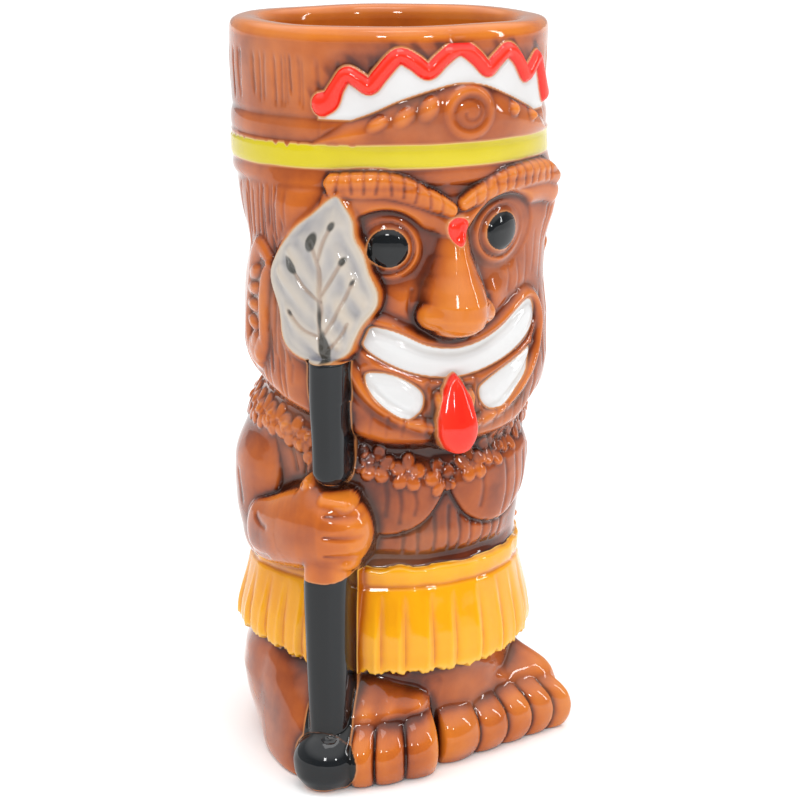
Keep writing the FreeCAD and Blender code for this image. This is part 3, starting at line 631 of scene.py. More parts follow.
def make_blade():
    global vein_field, dot_field
    blade = area(BLADE, 5)
    rim = smooth_step(blade, -1.9, 0.5)
    plate = 42.3 + 0.9 * smooth_step(blade, 0, 6.0)
    relief["r"] = relief["r"] * (1 - rim) + np.maximum(relief["r"] + 0.2, plate) * rim
    relief["r"] = relief["r"] + 0.45 * np.exp(-(((blade + 0.1) / 0.8) ** 2))
    relief["r"] = relief["r"] + 0.4 * wave(21, 9, 9) * smooth_step(blade, 1.0, 3.0)
    for points, width in VEINS:
        share, _ = spine(points, [width] * len(points), 5, 4.0)
        distance = share * width
        relief["r"] = relief["r"] + 0.45 * np.exp(-((distance / 1.6) ** 2)) * (blade > 0)
        carve(0.5, distance, 0.5)
        vein_field = np.minimum(vein_field, distance / width)
    for a, z, across, up, turn in DOTS:
        share, inside = ellipse(a, z, across, up, turn)
        dot_field = np.minimum(dot_field, 1.0 - inside)
    claim("blade_rim", blade + 1.7)
    claim("spear_blade", blade + 0.1)


def make_shaft():
    upper = [(-45.9, 104.0), (-46.0, 98.0), (-45.6, 90.0), (-45.4, 82.6)]
    share, inside = spine(upper, [5.0, 4.8, 4.6, 4.6], 4)
    ending = np.abs(wrap(A + 45.9)) * PER_DEGREE
    tall = np.where((Z > 100) & (Z < 110.6), ending / 5.0, 50.0)
    share, inside = np.minimum(share, tall), np.maximum(inside, np.where(tall < 9, 5.0 - ending, -50.0))
    cover = smooth_step(inside, -0.2, 1.2) * smooth_step(Z, 78.4, 80.0)
    relief["r"] = relief["r"] + (np.minimum(relief["r"], 37.6) - relief["r"]) * cover
    raise_to(7.6, share, 37.6 + 0 * A, 1.0, 3.0, 1.2)
    claim("spear_shaft_upper", np.minimum(inside + 0.4, 110.4 - Z))
    lower = [(-45.8, 62.0), (-46.2, 50.0), (-46.0, 36.0), (-45.6, 22.0), (-45.2, 9.0)]
    share, inside = spine(lower, [5.9, 5.7, 5.4, 5.2, 5.0], 4)
    raise_to(8.6, share, 38.8 + 0 * A, 0.9, 3.2, 1.2)
    claim("spear_shaft_lower", inside + 0.5)
    share, inside = ellipse(-45.4, 6.8, 7.3, 7.4)
    below = np.abs(wrap(A + 45.4)) * PER_DEGREE / np.sqrt(np.clip(53 - 0.75 * (Z - 6.8) ** 2, 9, 53))
    share = np.where(Z < 6.8, below, share)
    sole = 1.6 * smooth_step(4.0 - Z, 0, 4)
    raise_to(8.6, share, 45.0 - sole, 1.2)
    ball = np.maximum(inside + 0.3, np.where(Z < 6.8, (1 - share) * 7.3 + 0.3, -50.0))
    claim("spear_butt", np.minimum(ball, Z - 0.9))


# --- arms and hands ----------------------------------------------------------------------------------------


def make_arms():
    body = relief["body"]
    below_head = 1 - smooth_step(Z - neck_line(), -21.0, -4.0)
    # the right arm: a broad upper arm to the elbow, then forearm, wrist and fist in one limb
    upper = [(-95.0, 87.0), (-98.5, 81.0), (-101.0, 73.0), (-103.0, 66.0)]
    share_upper, inside_upper = spine(upper, [11.0, 15.6, 17.4, 15.4], 5, 18.0)
    arm = body - 0.2 + 4.7 * dome(share_upper, 2.6) * below_head
    limb = [(-81.0, 61.6), (-72.0, 62.6), (-60.0, 64.8), (-50.0, 66.5), (-46.8, 66.9)]
    share_limb, inside_limb = spine(limb, [8.4, 9.2, 10.4, 11.4, 11.6], 5, 14.0)
    crest = np.interp(A, [-94, -84, -74, -64, -54, -46], [41.2, 42.6, 43.8, 45.6, 48.0, 49.4])
    limb = 37.0 + (crest - 37.0) * dome(share_limb, 2.2)
    _, inside_fist = ellipse(-46.8, 66.9, 11.6, 11.5)
    web, inside = spine([(-53.6, 79.0), (-51.6, 73.6)], [1.6, 6.8], 3)
    limb = smooth_max(limb, 37.6 + 6.0 * dome(web), 3.2)
    claim("right_fist", inside + 0.4)
    for z, a in ((74.6, -39.0), (69.6, -37.4), (64.4, -37.2), (59.4, -38.8)):
        share, inside = spine([(a - 6.5, z + 0.5), (a, z)], [2.9, 2.9], 3)
        limb = smooth_max(limb, 37.6 + 9.0 * dome(share), 1.3)
        claim("right_fist", inside + 0.8)
    for z in (72.2, 67.1, 61.9):
        share, _ = spine([(-44.0, z + 0.2), (-39.0, z), (-34.0, z - 0.2)], [0.3, 0.8, 0.9], 4)
        limb = limb - 0.5 * np.exp(-((np.minimum(share, 9) / 1.1) ** 2))
    # the hollow of the elbow
    share, _ = ellipse(-64.5, 74.6, 8.0, 3.4, -12)
    relief["r"] = relief["r"] - 0.8 * np.exp(-(share**2))
    relief["r"] = smooth_max(relief["r"], smooth_max(arm, limb, 1.5), 1.4)
    claim("right_arm", np.maximum(np.minimum(inside_upper + 0.6, neck_line() - 1.0 - Z), inside_limb + 0.6))
    claim("right_fist", inside_fist + 1.0)
    claim("right_fist", np.minimum(inside_limb + 0.6, (A + 58.5) * PER_DEGREE))
    groove([(-77.6, 66.4), (-74.0, 65.4), (-70.4, 65.0)], 0.35, 0.9)
    groove([(-84.0, 56.4), (-77.6, 56.0), (-71.2, 56.6)], 0.35, 0.9)
    groove([(-99.0, 74.0), (-97.0, 70.0), (-96.4, 66.6)], 0.25, 0.9)
    # soft folds on the chest between arm and spear
    for a, low, high in ((-67.4, 79.0, 84.0), (-61.4, 77.6, 82.4), (-56.6, 79.0, 82.6)):
        groove([(a - 0.8, high), (a, (low + high) / 2), (a + 0.4, low)], 0.35, 0.9)
    # the other arm hangs at the side, with the hand on the hip
    upper = [(88.0, 88.0), (98.0, 81.0), (106.0, 72.0), (109.0, 63.0)]
    hand = [(110.0, 60.0), (102.0, 56.4), (92.0, 55.0)]
    share_upper, inside_upper = spine(upper, [7.0, 9.0, 9.6, 8.6], 5)
    share_hand, inside_hand = spine(hand, [6.8, 5.6, 4.6], 5)
    arm = smooth_max(body - 0.2 + 3.6 * dome(share_upper, 2.2) * below_head,
        body - 0.2 + 3.9 * dome(share_hand), 2.4)
    for z, reach in ((58.6, 84.0), (55.4, 82.0), (52.2, 82.6), (49.2, 85.0)):
        share, inside = spine([(96.0, z + 0.4), (reach, z)], [2.0, 1.6], 3)
        arm = smooth_max(arm, body - 0.3 + 2.9 * dome(share), 0.8)
        claim("left_hand", inside + 0.4)
    relief["r"] = smooth_max(relief["r"], arm, 1.4)
    claim("left_arm", np.minimum(inside_upper + 0.6, neck_line() - 1.0 - Z))
    claim("left_hand", inside_hand + 0.5)


# --- chest, garland and skirt ------------------------------------------------------------------------------


def make_chest():
    for side in (-1, 1):
        plate = area([(side * a, z) for a, z in
                      ((0.8, 77.0), (3.0, 73.0), (9.0, 68.0), (17.0, 65.2), (27.0, 64.2), (38.0, 65.2),
                      (52.0, 69.0),
                       (62.0, 78.0), (50.0, 88.0), (20.0, 86.0), (6.0, 82.0))], 4)  # fmt: skip
        rise = np.clip(plate / 9.0, 0, 1)
        relief["r"] = relief["r"] + 2.5 * np.where(plate > 0, np.sqrt(rise * (2 - rise)),
            0) * (1 - smooth_step(Z, 80, 87))
        carve(0.3, plate + 0.4, 0.8)
    for i, a in enumerate((-19.0, -12.4, -5.4, 1.4, 6.4, 12.6, 19.4, 26.0, 32.0)):
        top = 67.5 + 4.6 * math.exp(-((a / 8.0) ** 2)) - 0.06 * abs(a)
        groove([(a, top - 1.5), (a + 0.3 * (-1) ** i, 63.4), (a, 59.6)], 0.36, 0.8)
    waist = 1 - smooth_step(np.abs(A), 26, 50)
    relief["r"] = relief["r"] - 1.0 * waist * np.exp(-(((Z - 57.4 - 0.3 * wave(31, 30, 200)) / 1.7) ** 2))
    belly = np.exp(-(((Z - 62.6) / 3.4) ** 2)) * (1 - smooth_step(np.abs(A), 24, 40))
    relief["r"] = relief["r"] + 0.8 * belly
    for a, low, high in ((-20.5, 68, 77), (-26.0, 70, 79), (-14.5, 70, 76), (15.0, 70, 79), (29.0, 66, 80),
            (36.5, 67, 80),
                         (44.0, 68, 80), (51.0, 72, 81)):  # fmt: skip
        groove([(a, high), (a + 0.7, (low + high) / 2), (a, low)], 0.26, 0.8)


def blur(field, mm):
    """A soft average over about that many mm, closed round the mug."""
    out = field
    for axis, step in ((0, 0.33), (1, WALL_TOP / (len(HEIGHTS) - 1))):
        half = max(1, int(round(mm / step)))
        kernel = np.hanning(2 * half + 3)[1:-1]
        kernel /= kernel.sum()
        mode = "wrap" if axis == 0 else "edge"
        pad = [(half, half) if i == axis else (0, 0) for i in range(2)]
        wide = np.pad(out, pad, mode=mode)
        total = np.zeros_like(out)
        for i, share in enumerate(kernel):
            view = wide[i : i + out.shape[0]] if axis == 0 else wide[:, i : i + out.shape[1]]
            total = total + share * view
        out = total
    return out


FLOWERS = [
    (-97.0, 91.6), (-86.4, 91.6), (-75.8, 90.6), (-66.0, 88.4), (-57.6, 85.2), (-39.6, 84.6), (-29.6, 83.0),
    (-17.4, 80.8), (-3.2, 78.6), (11.0, 81.4), (22.6, 84.0), (33.6, 86.2), (44.6, 88.2), (55.8, 89.8),
    (67.0, 90.8),
    (78.4, 91.4), (90.0, 91.6), (101.6, 91.6),
]  # fmt: skip


def make_garland():
    """Five-petalled flowers in a string over the shoulders."""
    spots = list(FLOWERS)
    spots += [(a, 91.6 + 0.4 * math.sin(a)) for a in np.linspace(112.8, 251.8, 13)]
    mine = own.setdefault("garland_flowers", np.full(A.shape, -50.0))
    under = np.maximum(blur(relief["r"], 3.0), relief["body"] + 0.2)
    for i, (a, z) in enumerate(spots):
        here = near([(wrap(a) - 8, z - 7), (wrap(a) + 8, z + 7)], 1.0)
        u = wrap(A[here] - a) * PER_DEGREE * 0.92
        v = Z[here] - z
        face = relief["r"][here]
        base = np.maximum(face, under[here])
        inside = np.full(u.shape, -50.0)
        start = 90 + 14 * math.sin(i * 1.7)
        for petal in range(5):
            turn = math.radians(start + 72 * petal)
            pu, pv = u - 2.75 * math.cos(turn), v - 2.75 * math.sin(turn)
            out = pu * math.cos(turn) + pv * math.sin(turn)
            aside = pv * math.cos(turn) - pu * math.sin(turn)
            share = np.hypot(out / 2.05, aside / 1.8)
            face = smooth_max(face, base - 0.3 + 0.95 * dome(share, 2.8), 0.6)
            inside = np.maximum(inside, (1.0 - share) * 1.65 + 0.3)
        middle = np.hypot(u, v)
        face = face + 0.3 * np.exp(-((middle / 1.3) ** 2))
        inside = np.maximum(inside, 2.0 - middle)
        relief["r"][here] = face
        mine[here] = np.maximum(mine[here], inside)


def make_skirt():
    draw = np.random.default_rng(77)
    edges = np.cumsum(draw.uniform(8.2, 12.4, 31))
    edges = np.sort(wrap(edges / edges[-1] * 360.0 + 3.0))
    flat = A[:, 0]
    place = np.searchsorted(edges, flat, side="right")
    wide = np.concatenate([[edges[-1] - 360.0], edges, [edges[0] + 360.0]])
    low, high = wide[place], wide[place + 1]
    share = (flat - low) / (high - low)
    width = (high - low) * PER_DEGREE
    seam = np.minimum(share, 1 - share) * width
    pleat = 0.42 * (1 - np.exp(-((seam / 1.3) ** 2))) + 0.25 * (share - 0.5)
    bead = 0.3 * np.exp(-((((1 - share) * width - 1.4) / 0.8) ** 2))
    hang = np.interp(flat, *np.array([(-180, 31.5), (-110, 32.0), (-75, 29.5), (-52, 27.2), (-30, 27.0),
        (10, 27.2),
                                      (35, 28.2), (62, 30.6), (100, 32.0), (180, 31.5)]).T)  # fmt: skip
    teeth = np.zeros_like(flat)
    for amplitude, pitch, seed in ((0.6, 4.1, 1), (0.4, 2.3, 2), (0.9, 9.7, 3)):
        phase = np.random.default_rng(seed).uniform(0, 6.28)
        saw = np.abs(((flat / pitch + phase) % 1.0) * 2 - 1)
        teeth += amplitude * (saw - 0.5)
    hem = (hang + teeth)[:, None]
    top = 55.2 + 0.3 * wave(41, 14, 300)
    behind = smooth_step(np.abs(A), 64, 106)
    around_back = [(24, 38.4), (29, 39.5), (33, 40.2), (37, 39.9), (42, 38.7), (47, 37.5), (50.2, 36.9),
        (51.2, 37.1),
                   (52.8, 37.3), (54.4, 37.0), (55.6, 36.2)]  # fmt: skip
    in_front = [(24, 36.4), (29, 36.8), (33, 37.0), (37, 36.6), (42, 35.7), (47, 34.8), (50.2, 34.2),
        (51.2, 34.4),
                (52.8, 34.6), (54.4, 34.4), (55.6, 34.0)]  # fmt: skip
    form = smooth_profile(around_back, Z) * behind + smooth_profile(in_front, Z) * (1 - behind)
    folds = smooth_step(49.8 - Z, 0.0, 3.0)
    form = form + (pleat + bead)[:, None] * folds * smooth_step(52 - Z, 0, 20) * 1.15
    form = form + 0.12 * wave(43, 14, 60)
    inside = np.minimum(Z - hem, top - Z)
    edge = smooth_step(inside, -0.15, 0.75)
    relief["r"] = relief["r"] * (1 - edge) + np.maximum(form, relief["body"] + 0.5) * edge
    carve(0.3, Z - 50.0, 0.7)
    claim("skirt", np.minimum(Z - hem, 50.3 - Z))
    claim("waistband", np.minimum(Z - 49.7, top - Z))


# --- feet --------------------------------------------------------------------------------------------------


def foot_line(front, turn, reach, corner, side):
    """The radius of a foot's outline over the ground: a straight row of toes and a straight outer side."""
    row = front / np.clip(np.cos(np.radians(A - turn)), 0.2, 1)
    outer = reach / np.clip(side * np.sin(np.radians(A)), 0.25, 1)
    return smooth_min(row, outer, corner)


FEET = (
    ("foot_right", -1, 40.8, 0.0, 40.8, 9.0, (-3.4, -14.3, -23.1, -30.6, -37.2, -43.0)),
    ("foot_left", 1, 35.4, 14.5, 43.6, 7.0, (-2.4, 10.8, 20.2, 28.6, 36.2, 43.6)),
)


def make_feet():
    for name, side, front, turn, reach, corner, toes in FEET:
        out = side * A
        line = foot_line(front, turn, reach, corner, side) - 5.0 * np.exp(-(((A + 44) / 10) ** 2))
        line = line - (1.7 if side < 0 else 1.2) * np.exp(-(((A - CLEFT) / 6.0) ** 2))
        joined = line - (0.9 if side < 0 else 0.0) * np.exp(-(((A - CLEFT) / 8) ** 2))
        zone = smooth_step(side * (A - CLEFT), -0.6,
            2.6) * (1 - smooth_step(out, 60.0, 112.0 if side < 0 else 88.0))
        along = front * (np.tan(np.radians(np.clip(A - turn, -80, 80))) + math.tan(math.radians(turn)))
        lobes, lift = np.zeros_like(A), np.zeros_like(A)
        for i, (inner, outer) in enumerate(zip(toes[:-1], toes[1:])):
            middle, half = (inner + outer) / 2, abs(outer - inner) / 2
            share = np.abs(along - middle) / half
            lobe = np.clip(1 - share**2.4, 0, 1) ** 0.5
            lobes = np.maximum(lobes, lobe)
            lift = np.where(share < 1, (0.8, 0.4, 0.3, 0.2, -0.4)[i], lift)
        height = Z - lift * lobes
        tip = smooth_profile([(0, 0.6), (1.5, 2.0), (4, 3.2), (7, 3.5), (10, 2.6), (12.4, 0.7), (14.0, -1.5),
                              (15.4, -4.4), (17, -9.0), (20, -16.0)], height)  # fmt: skip
        toe_part = line - 1.0 + tip - (1 - lobes) * 2.6
        front_slope = smooth_profile([(0, -2.6), (8, -2.6), (12, -3.2), (15, -4.2), (18, -5.6), (21, -8.0),
                                      (24, -11.0), (28, -15.0)], Z)  # fmt: skip
        if side < 0:
            falling = [(0, 0.4), (3, 1.2), (8, 1.0), (14, 0.6), (20, 0.2), (25, -1.2), (30, -4.2)]
        else:
            falling = [(0, -0.8), (3, 0.0), (8, 0.4), (14, 0.0), (18, -1.8), (22, -4.2), (26, -6.2),
                (30, -8.4)]
        side_slope = smooth_profile(falling, Z)
        front_slope = front_slope * (1 + 0.4 * smooth_step(out, 30, 56) * smooth_step(Z, 15, 22) * (side > 0))
        wide = smooth_step(out, 46, 84) if side < 0 else smooth_step(out, 60, 96)
        instep = joined + front_slope * (1 - wide) + side_slope * wide
        # knuckles over the toes, and the hollow between them and the instep
        mound = np.exp(-(((np.abs(along) - 12.0) / 9.5) ** 2)) * np.exp(-(((Z - 18.6) / 3.0) ** 2))
        instep = instep + 0.9 * mound * (1 - wide)
        for inner, outer in zip(toes[:3], toes[1:4]):
            bump = np.exp(-(((along - (inner + outer) / 2) / 3.0) ** 2 + ((Z - 18.8) / 2.4) ** 2))
            instep = instep + 1.0 * bump
        toes_here = smooth_step(side * (A - CLEFT), -1,
            1) * (1 - smooth_step(np.abs(along), abs(toes[-1]) - 1, abs(toes[-1]) + 2))
        shape = np.where(toes_here > 0, smooth_max(instep, toe_part - (1 - toes_here) * 8, 2.4), instep)
        # the toes' upper ends fade into the foot
        target = relief["body"] - 1.5 + (shape - relief["body"] + 1.5) * zone
        relief["r"] = smooth_max(relief["r"], np.where(Z < 32, target, 0), 1.6)
        ceiling = np.interp(out, [0, 20, 45, 60, 80, 92], [20.0, 22.6, 24.0, 24.0, 22.0, 10.0])
        within = np.minimum(side * (A - CLEFT), 88 - out) * PER_DEGREE
        claim(name, np.minimum(np.minimum(within, 40.0), ceiling - Z))
    # the line between the two feet
    cleft = (A - CLEFT) * PER_DEGREE
    relief["r"] = relief["r"] - 1.5 * np.exp(-((cleft / 1.5) ** 2)) * (1 - smooth_step(Z, 16, 22))


# --- build the relief --------------------------------------------------------------------------------------

make_body()
make_feet()
make_chest()
make_sockets()
make_mouth()
make_brows()
make_eyes()
make_nose()
make_ears()
make_bands()
make_crown()
make_skirt()
make_arms()
make_garland()
make_blade()
make_shaft()

ORDER = [
    "pupil_right", "pupil_left", "nose_mark", "right_fist", "spear_butt", "spear_blade",
    "spear_shaft_upper", "blade_rim",
    "spear_shaft_lower", "garland_flowers", "right_arm", "left_hand", "left_arm", "tongue", "nose",
    "upper_teeth", "lower_teeth_right",
    "lower_teeth_left", "brow_right", "brow_left", "lips", "eye_right", "eye_left", "crown_zigzag",
    "medallion",
    "hair_beads", "hair_mound", "headband", "hat_roll", "band_edge", "crown_panel", "ear_right", "ear_left",
    "waistband", "skirt", "foot_right", "foot_left",
]  # fmt: skip

free = np.ones_like(A)
for name in ORDER:
    free = free * (1 - smooth_step(own[name], -1.2, 0.2))

bark((-180, 180), (170.5, 185.0), 96, (9, 14), 0.4, 101, 0.6)
bark((-170, -48), (98, 153), 60, (9, 22), 0.34, 102)
bark((48, 170), (98, 153), 60, (9, 22), 0.34, 103)
bark((-46, 46), (92, 112), 18, (5, 12), 0.3, 104)
bark((46, 314), (101, 116), 52, (5, 12), 0.3, 108)
bark((130, 230), (96, 153), 44, (9, 24), 0.36, 105)
bark((-100, -66), (137, 153.4), 12, (10, 16), 0.34, 106, 0.5)
bark((-98, -64), (97, 113), 12, (8, 14), 0.4, 107, 0.55)
press_bark(free)

# --- which piece has which stretch of the surface ----------------------------------------------------------

region = {}
taken = np.full(A.shape, -50.0)
for name in ORDER:
    region[name] = np.minimum(own[name], -taken)
    taken = np.maximum(taken, own[name])
region["cup"] = -taken

ENAMEL = {
    "pupil_right": 0.12, "pupil_left": 0.12, "nose_mark": 0.14, "spear_blade": 0.1, "spear_shaft_upper": 0.15,
    "spear_shaft_lower": 0.15, "spear_butt": 0.15, "tongue": 0.18, "upper_teeth": 0.2,
    "lower_teeth_right": 0.2,
    "lower_teeth_left": 0.2, "crown_zigzag": 0.18, "headband": 0.15, "crown_panel": 0.2, "waistband": 0.15,
    "skirt": 0.15,
}  # fmt: skip
surface = relief["r"].copy()
painted = np.full(A.shape, -50.0)
for name, thick in ENAMEL.items():
    surface = surface + thick * smooth_step(region[name], 0.0, 0.7)
    if name != "waistband":
        painted = np.maximum(painted, region[name])
foot_edge = np.clip(1 - Z / 1.2, 0, 1)
surface = surface - 1.0 * (1 - np.sqrt(np.clip(1 - foot_edge**2, 0, 1)))


# the colour follows the relief: darker in hollows and lighter on ridges, partly glaze that pools and thins,
# partly painted shade in the hollows
cavity = 0.7 * np.tanh((surface - blur(surface, 1.2)) * 1.7) + 0.85 * np.tanh((surface - blur(surface,
    4.5)) * 0.5)
cavity = cavity + 0.22 * np.tanh((surface - blur(surface, 11.0)) * 0.3)
# painted shade: the chest and arms are drawn darker, the fist left out
chest_and_arms_shade = smooth_step(Z, 50, 58) * (1 - smooth_step(Z, 88, 100)) * (1 - smooth_step(region["right_fist"],
    -6.0, 2.0))
cavity = cavity - 0.2 * chest_and_arms_shade + 0.16 * smooth_step(own["garland_flowers"], 0.0, 1.0)
# the glaze has pooled along the top of the zigzag
drip = (
    np.exp(-(((own["crown_zigzag"] + 1.5) / 1.7) ** 2)) * (own["crown_zigzag"] < 0) * (own["crown_panel"] < 0)
)
cavity = cavity - 0.42 * drip * smooth_step(wave(61, 9, 7), -0.4, 1.2) * (Z > 174)


def positions(radius):
    turn = np.radians(A)
    return np.stack([radius * np.sin(turn), -radius * np.cos(turn), Z], -1)


def surface_normals(points):
    along = np.roll(points, -1, 0) - np.roll(points, 1, 0)
    up = np.gradient(points, axis=1)
    normal = np.cross(along, up)
    return normal / np.linalg.norm(normal, axis=-1, keepdims=True)


NORMALS = surface_normals(positions(surface))
BODY = np.minimum(relief["body"], surface)


def dipped(field):
    """The surface inside a region, and a soft step down beyond its edge."""
    share = smooth_step(-field, 0.0, 1.7)
    return surface - share * np.maximum(surface - BODY + 0.8, 1.1)


# --- materials ---------------------------------------------------------------------------------------------


def node(tree, kind, where, **settings):
    made = tree.nodes.new(kind)
    made.location = where
    for key, setting in settings.items():
        setattr(made, key, setting)
    return made


def ramp(tree, where, stops):
    made = node(tree, "ShaderNodeValToRGB", where)
    band = made.color_ramp
    while len(band.elements) < len(stops):
        band.elements.new(0.5)
    for element, (at, colour) in zip(band.elements, stops):
        element.position = at
        element.color = (*colour, 1.0)
    return made


def mixed(tree, where, factor, low, high, blend="MIX"):
    made = node(tree, "ShaderNodeMix", where, data_type="RGBA", blend_type=blend)
    links = tree.links
    if isinstance(factor, float):
        made.inputs[0].default_value = factor
    else:
        links.new(factor, made.inputs[0])
    for socket, source in ((made.inputs[6], low), (made.inputs[7], high)):
        if isinstance(source, tuple):
            socket.default_value = (*source, 1.0)
        else:
            links.new(source, socket)
    return made.outputs[2]


def mapped(tree, where, source, low, high, out_low=0.0, out_high=1.0):
    made = node(tree, "ShaderNodeMapRange", where, interpolation_type="SMOOTHSTEP")
    tree.links.new(source, made.inputs["Value"])
    for key, setting in (("From Min", low), ("From Max", high), ("To Min", out_low), ("To Max", out_high)):
        made.inputs[key].default_value = setting
    return made.outputs["Result"]


def attribute(tree, where, name):
    return node(tree, "ShaderNodeAttribute", where, attribute_name=name).outputs["Fac"]


def noise(tree, where, scale, detail=3.0, stretch=None):
    coords = node(tree, "ShaderNodeTexCoord", (where[0] - 400, where[1]))
    source = coords.outputs["Object"]
    if stretch:
        mapping = node(tree, "ShaderNodeMapping", (where[0] - 200, where[1]))
        mapping.inputs["Scale"].default_value = stretch
        tree.links.new(source, mapping.inputs["Vector"])
        source = mapping.outputs["Vector"]
    made = node(tree, "ShaderNodeTexNoise", where)
    made.inputs["Scale"].default_value = scale
    made.inputs["Detail"].default_value = detail
    tree.links.new(source, made.inputs["Vector"])
    return made.outputs["Fac"]


def glaze(name, stops, edge, spread=(0.0, 0.55), mottle=0.35, rough=0.06, coat=0.12, haze=0.0, accent=None):
    """A glossy glaze: thin and warm on ridges, dark in hollows from pooled glaze and from painted shade, with
    an outline where it ends.
    """
    material = bpy.data.materials.new(name)
    material.use_nodes = True
    tree = material.node_tree
    shader = tree.nodes["Principled BSDF"]
    links = tree.links
    hollow = attribute(tree, (-1400, 200), "cavity")
    patchy = noise(tree, (-1400, -100), 90.0, 4.0)
    drift = noise(tree, (-1400, -300), 26.0, 3.0, (1.0, 1.0, 0.6))
    both_noises = node(tree, "ShaderNodeMath", (-1250, -100), operation="ADD")
    links.new(patchy, both_noises.inputs[0])
    links.new(drift, both_noises.inputs[1])
    add = node(tree, "ShaderNodeMath", (-1150, 100), operation="MULTIPLY_ADD")
    links.new(both_noises.outputs[0], add.inputs[0])
    add.inputs[1].default_value = mottle
    links.new(hollow, add.inputs[2])
    level = mapped(tree, (-950, 100), add.outputs[0], -1.0 + mottle, 1.0 + mottle)
    colour = ramp(tree, (-750, 100), stops)
    links.new(level, colour.inputs["Fac"])
    result = colour.outputs["Color"]
    if accent:
        result = accent(tree, result)
    if haze:
        cloud = mapped(tree, (-500, 500), noise(tree, (-700, 500), 34.0, 4.0), 0.48, 0.75, 0.0, haze)
        result = mixed(tree, (-350, 350), cloud, result, (0.56, 0.25, 0.12))
    outline = mapped(tree, (-500, -250), attribute(tree, (-700, -250), "edge"), *spread, 1.0, 0.0)
    result = mixed(tree, (-250, 100), outline, result, edge)
    links.new(result, shader.inputs["Base Color"])
    shader.inputs["Roughness"].default_value = rough
    shader.inputs["IOR"].default_value = 1.42
    shader.inputs["Coat Weight"].default_value = coat
    shader.inputs["Coat Roughness"].default_value = 0.02
    ripple = noise(tree, (-700, -600), 260.0, 2.0)
    slow = noise(tree, (-700, -850), 70.0, 2.0)
    total = node(tree, "ShaderNodeMath", (-450, -700), operation="MULTIPLY_ADD")
    links.new(ripple, total.inputs[0])
    total.inputs[1].default_value = 0.25
    links.new(slow, total.inputs[2])
    bump = node(tree, "ShaderNodeBump", (-250, -600))
    bump.inputs["Strength"].default_value = 0.12
    bump.inputs["Distance"].default_value = 0.0012
    links.new(total.outputs[0], bump.inputs["Height"])
    links.new(bump.outputs["Normal"], shader.inputs["Normal"])
    return material


def vein_paint(tree, colour):
    """The blade's veins in beige, and the dark dots at their ends."""
    vein = mapped(tree, (-900, 400), attribute(tree, (-1100, 400), "vein"), 0.2, 1.3, 0.75, 0.0)
    colour = mixed(tree, (-600, 350), vein, colour, (0.36, 0.26, 0.19))
    dot = mapped(tree, (-900, 650), attribute(tree, (-1100, 650), "dot"), 0.75, 1.35, 0.95, 0.0)
    return mixed(tree, (-400, 350), dot, colour, (0.045, 0.045, 0.04))


BROWN = [
    (0.0, (0.030, 0.005, 0.002)), (0.20, (0.112, 0.019, 0.005)), (0.38, (0.262, 0.052, 0.010)),
    (0.52, (0.355, 0.077, 0.013)), (0.72, (0.470, 0.112, 0.014)), (1.0, (0.60, 0.175, 0.018)),
]  # fmt: skip
TAN = (0.58, 0.26, 0.09)
MATERIALS = {
    "brown_glaze": glaze("brown_glaze", BROWN, (0.50, 0.19, 0.06), (0.0, 0.6), 1.0, haze=0.22),
    "lime_glaze": glaze(
        "lime_glaze", [(0.0, (0.36, 0.28, 0.002)), (0.5, (0.56, 0.46, 0.004)), (1.0, (0.66, 0.54, 0.02))],
        (0.60, 0.42, 0.12), (0.0, 0.5), 0.4),
    "red_glaze": glaze(
        "red_glaze", [(0.0, (0.50, 0.006, 0.003)), (0.5, (0.78, 0.014, 0.005)), (1.0, (0.82, 0.03, 0.012))],
        (0.70, 0.30, 0.15), (0.0, 0.3), 0.3),
    "white_glaze": glaze(
        "white_glaze", [(0.0, (0.50, 0.48, 0.46)), (0.5, (0.62, 0.62, 0.62)), (1.0, (0.64, 0.64, 0.64))],
        TAN, (0.0, 0.28), 0.1),
    "black_glaze": glaze(
        "black_glaze", [(0.0, (0.002, 0.002, 0.002)), (0.5, (0.004, 0.005, 0.006)),
        (1.0, (0.008, 0.010, 0.012))],
        (0.10, 0.04, 0.02), (0.0, 0.25), 0.3, coat=0.0),
    "grey_glaze": glaze(
        "grey_glaze", [(0.0, (0.20, 0.20, 0.23)), (0.4, (0.35, 0.33, 0.32)), (0.65, (0.44, 0.40, 0.36)),
                       (1.0, (0.50, 0.43, 0.35))],
        (0.50, 0.28, 0.13), (0.0, 0.5), 0.8, accent=vein_paint),
    "yellow_glaze": glaze(
        "yellow_glaze", [(0.0, (0.38, 0.085, 0.001)), (0.3, (0.66, 0.23, 0.001)), (0.5, (0.76, 0.32, 0.001)),
                         (0.75, (0.79, 0.36, 0.006)), (1.0, (0.82, 0.44, 0.05))],
        (0.80, 0.46, 0.07), (0.0, 0.3), 0.5),
}  # fmt: skip

# --- meshes ------------------------------------------------------------------------------------------------

N, M = A.shape


def finish_mesh(name, points, faces, normals, values, material):
    mesh = bpy.data.meshes.new(name)
    mesh.from_pydata((points * MM).tolist(), [], faces)
    mesh.validate()
    for key, field in values.items():
        layer = mesh.attributes.new(key, "FLOAT", "POINT")
        layer.data.foreach_set("value", field.astype(np.float32))
    mesh.polygons.foreach_set("use_smooth", np.ones(len(mesh.polygons), bool))
    if normals is not None:
        mesh.normals_split_custom_set_from_vertices(normals.tolist())
    obj = bpy.data.objects.new(name, mesh)
    bpy.context.scene.collection.objects.link(obj)
    mesh.materials.append(material)
    return obj


def quads_of(mask):
    """Index pairs of the grid's quads with all four corners in the mask, none touching at a corner only."""
    quads = mask & np.roll(mask, -1, 0)
    quads = quads[:, :-1] & quads[:, 1:]
    for _ in range(4):
        a, b = quads[:, :-1], quads[:, 1:]
        c, d = np.roll(quads, -1, 0)[:, :-1], np.roll(quads, -1, 0)[:, 1:]
        one = a & d & ~b & ~c
        two = b & c & ~a & ~d
        if not (one.any() or two.any()):
            break
        grown = quads.copy()
        grown[:, 1:] |= one
        grown[:, :-1] |= two
        quads = grown
    return quads


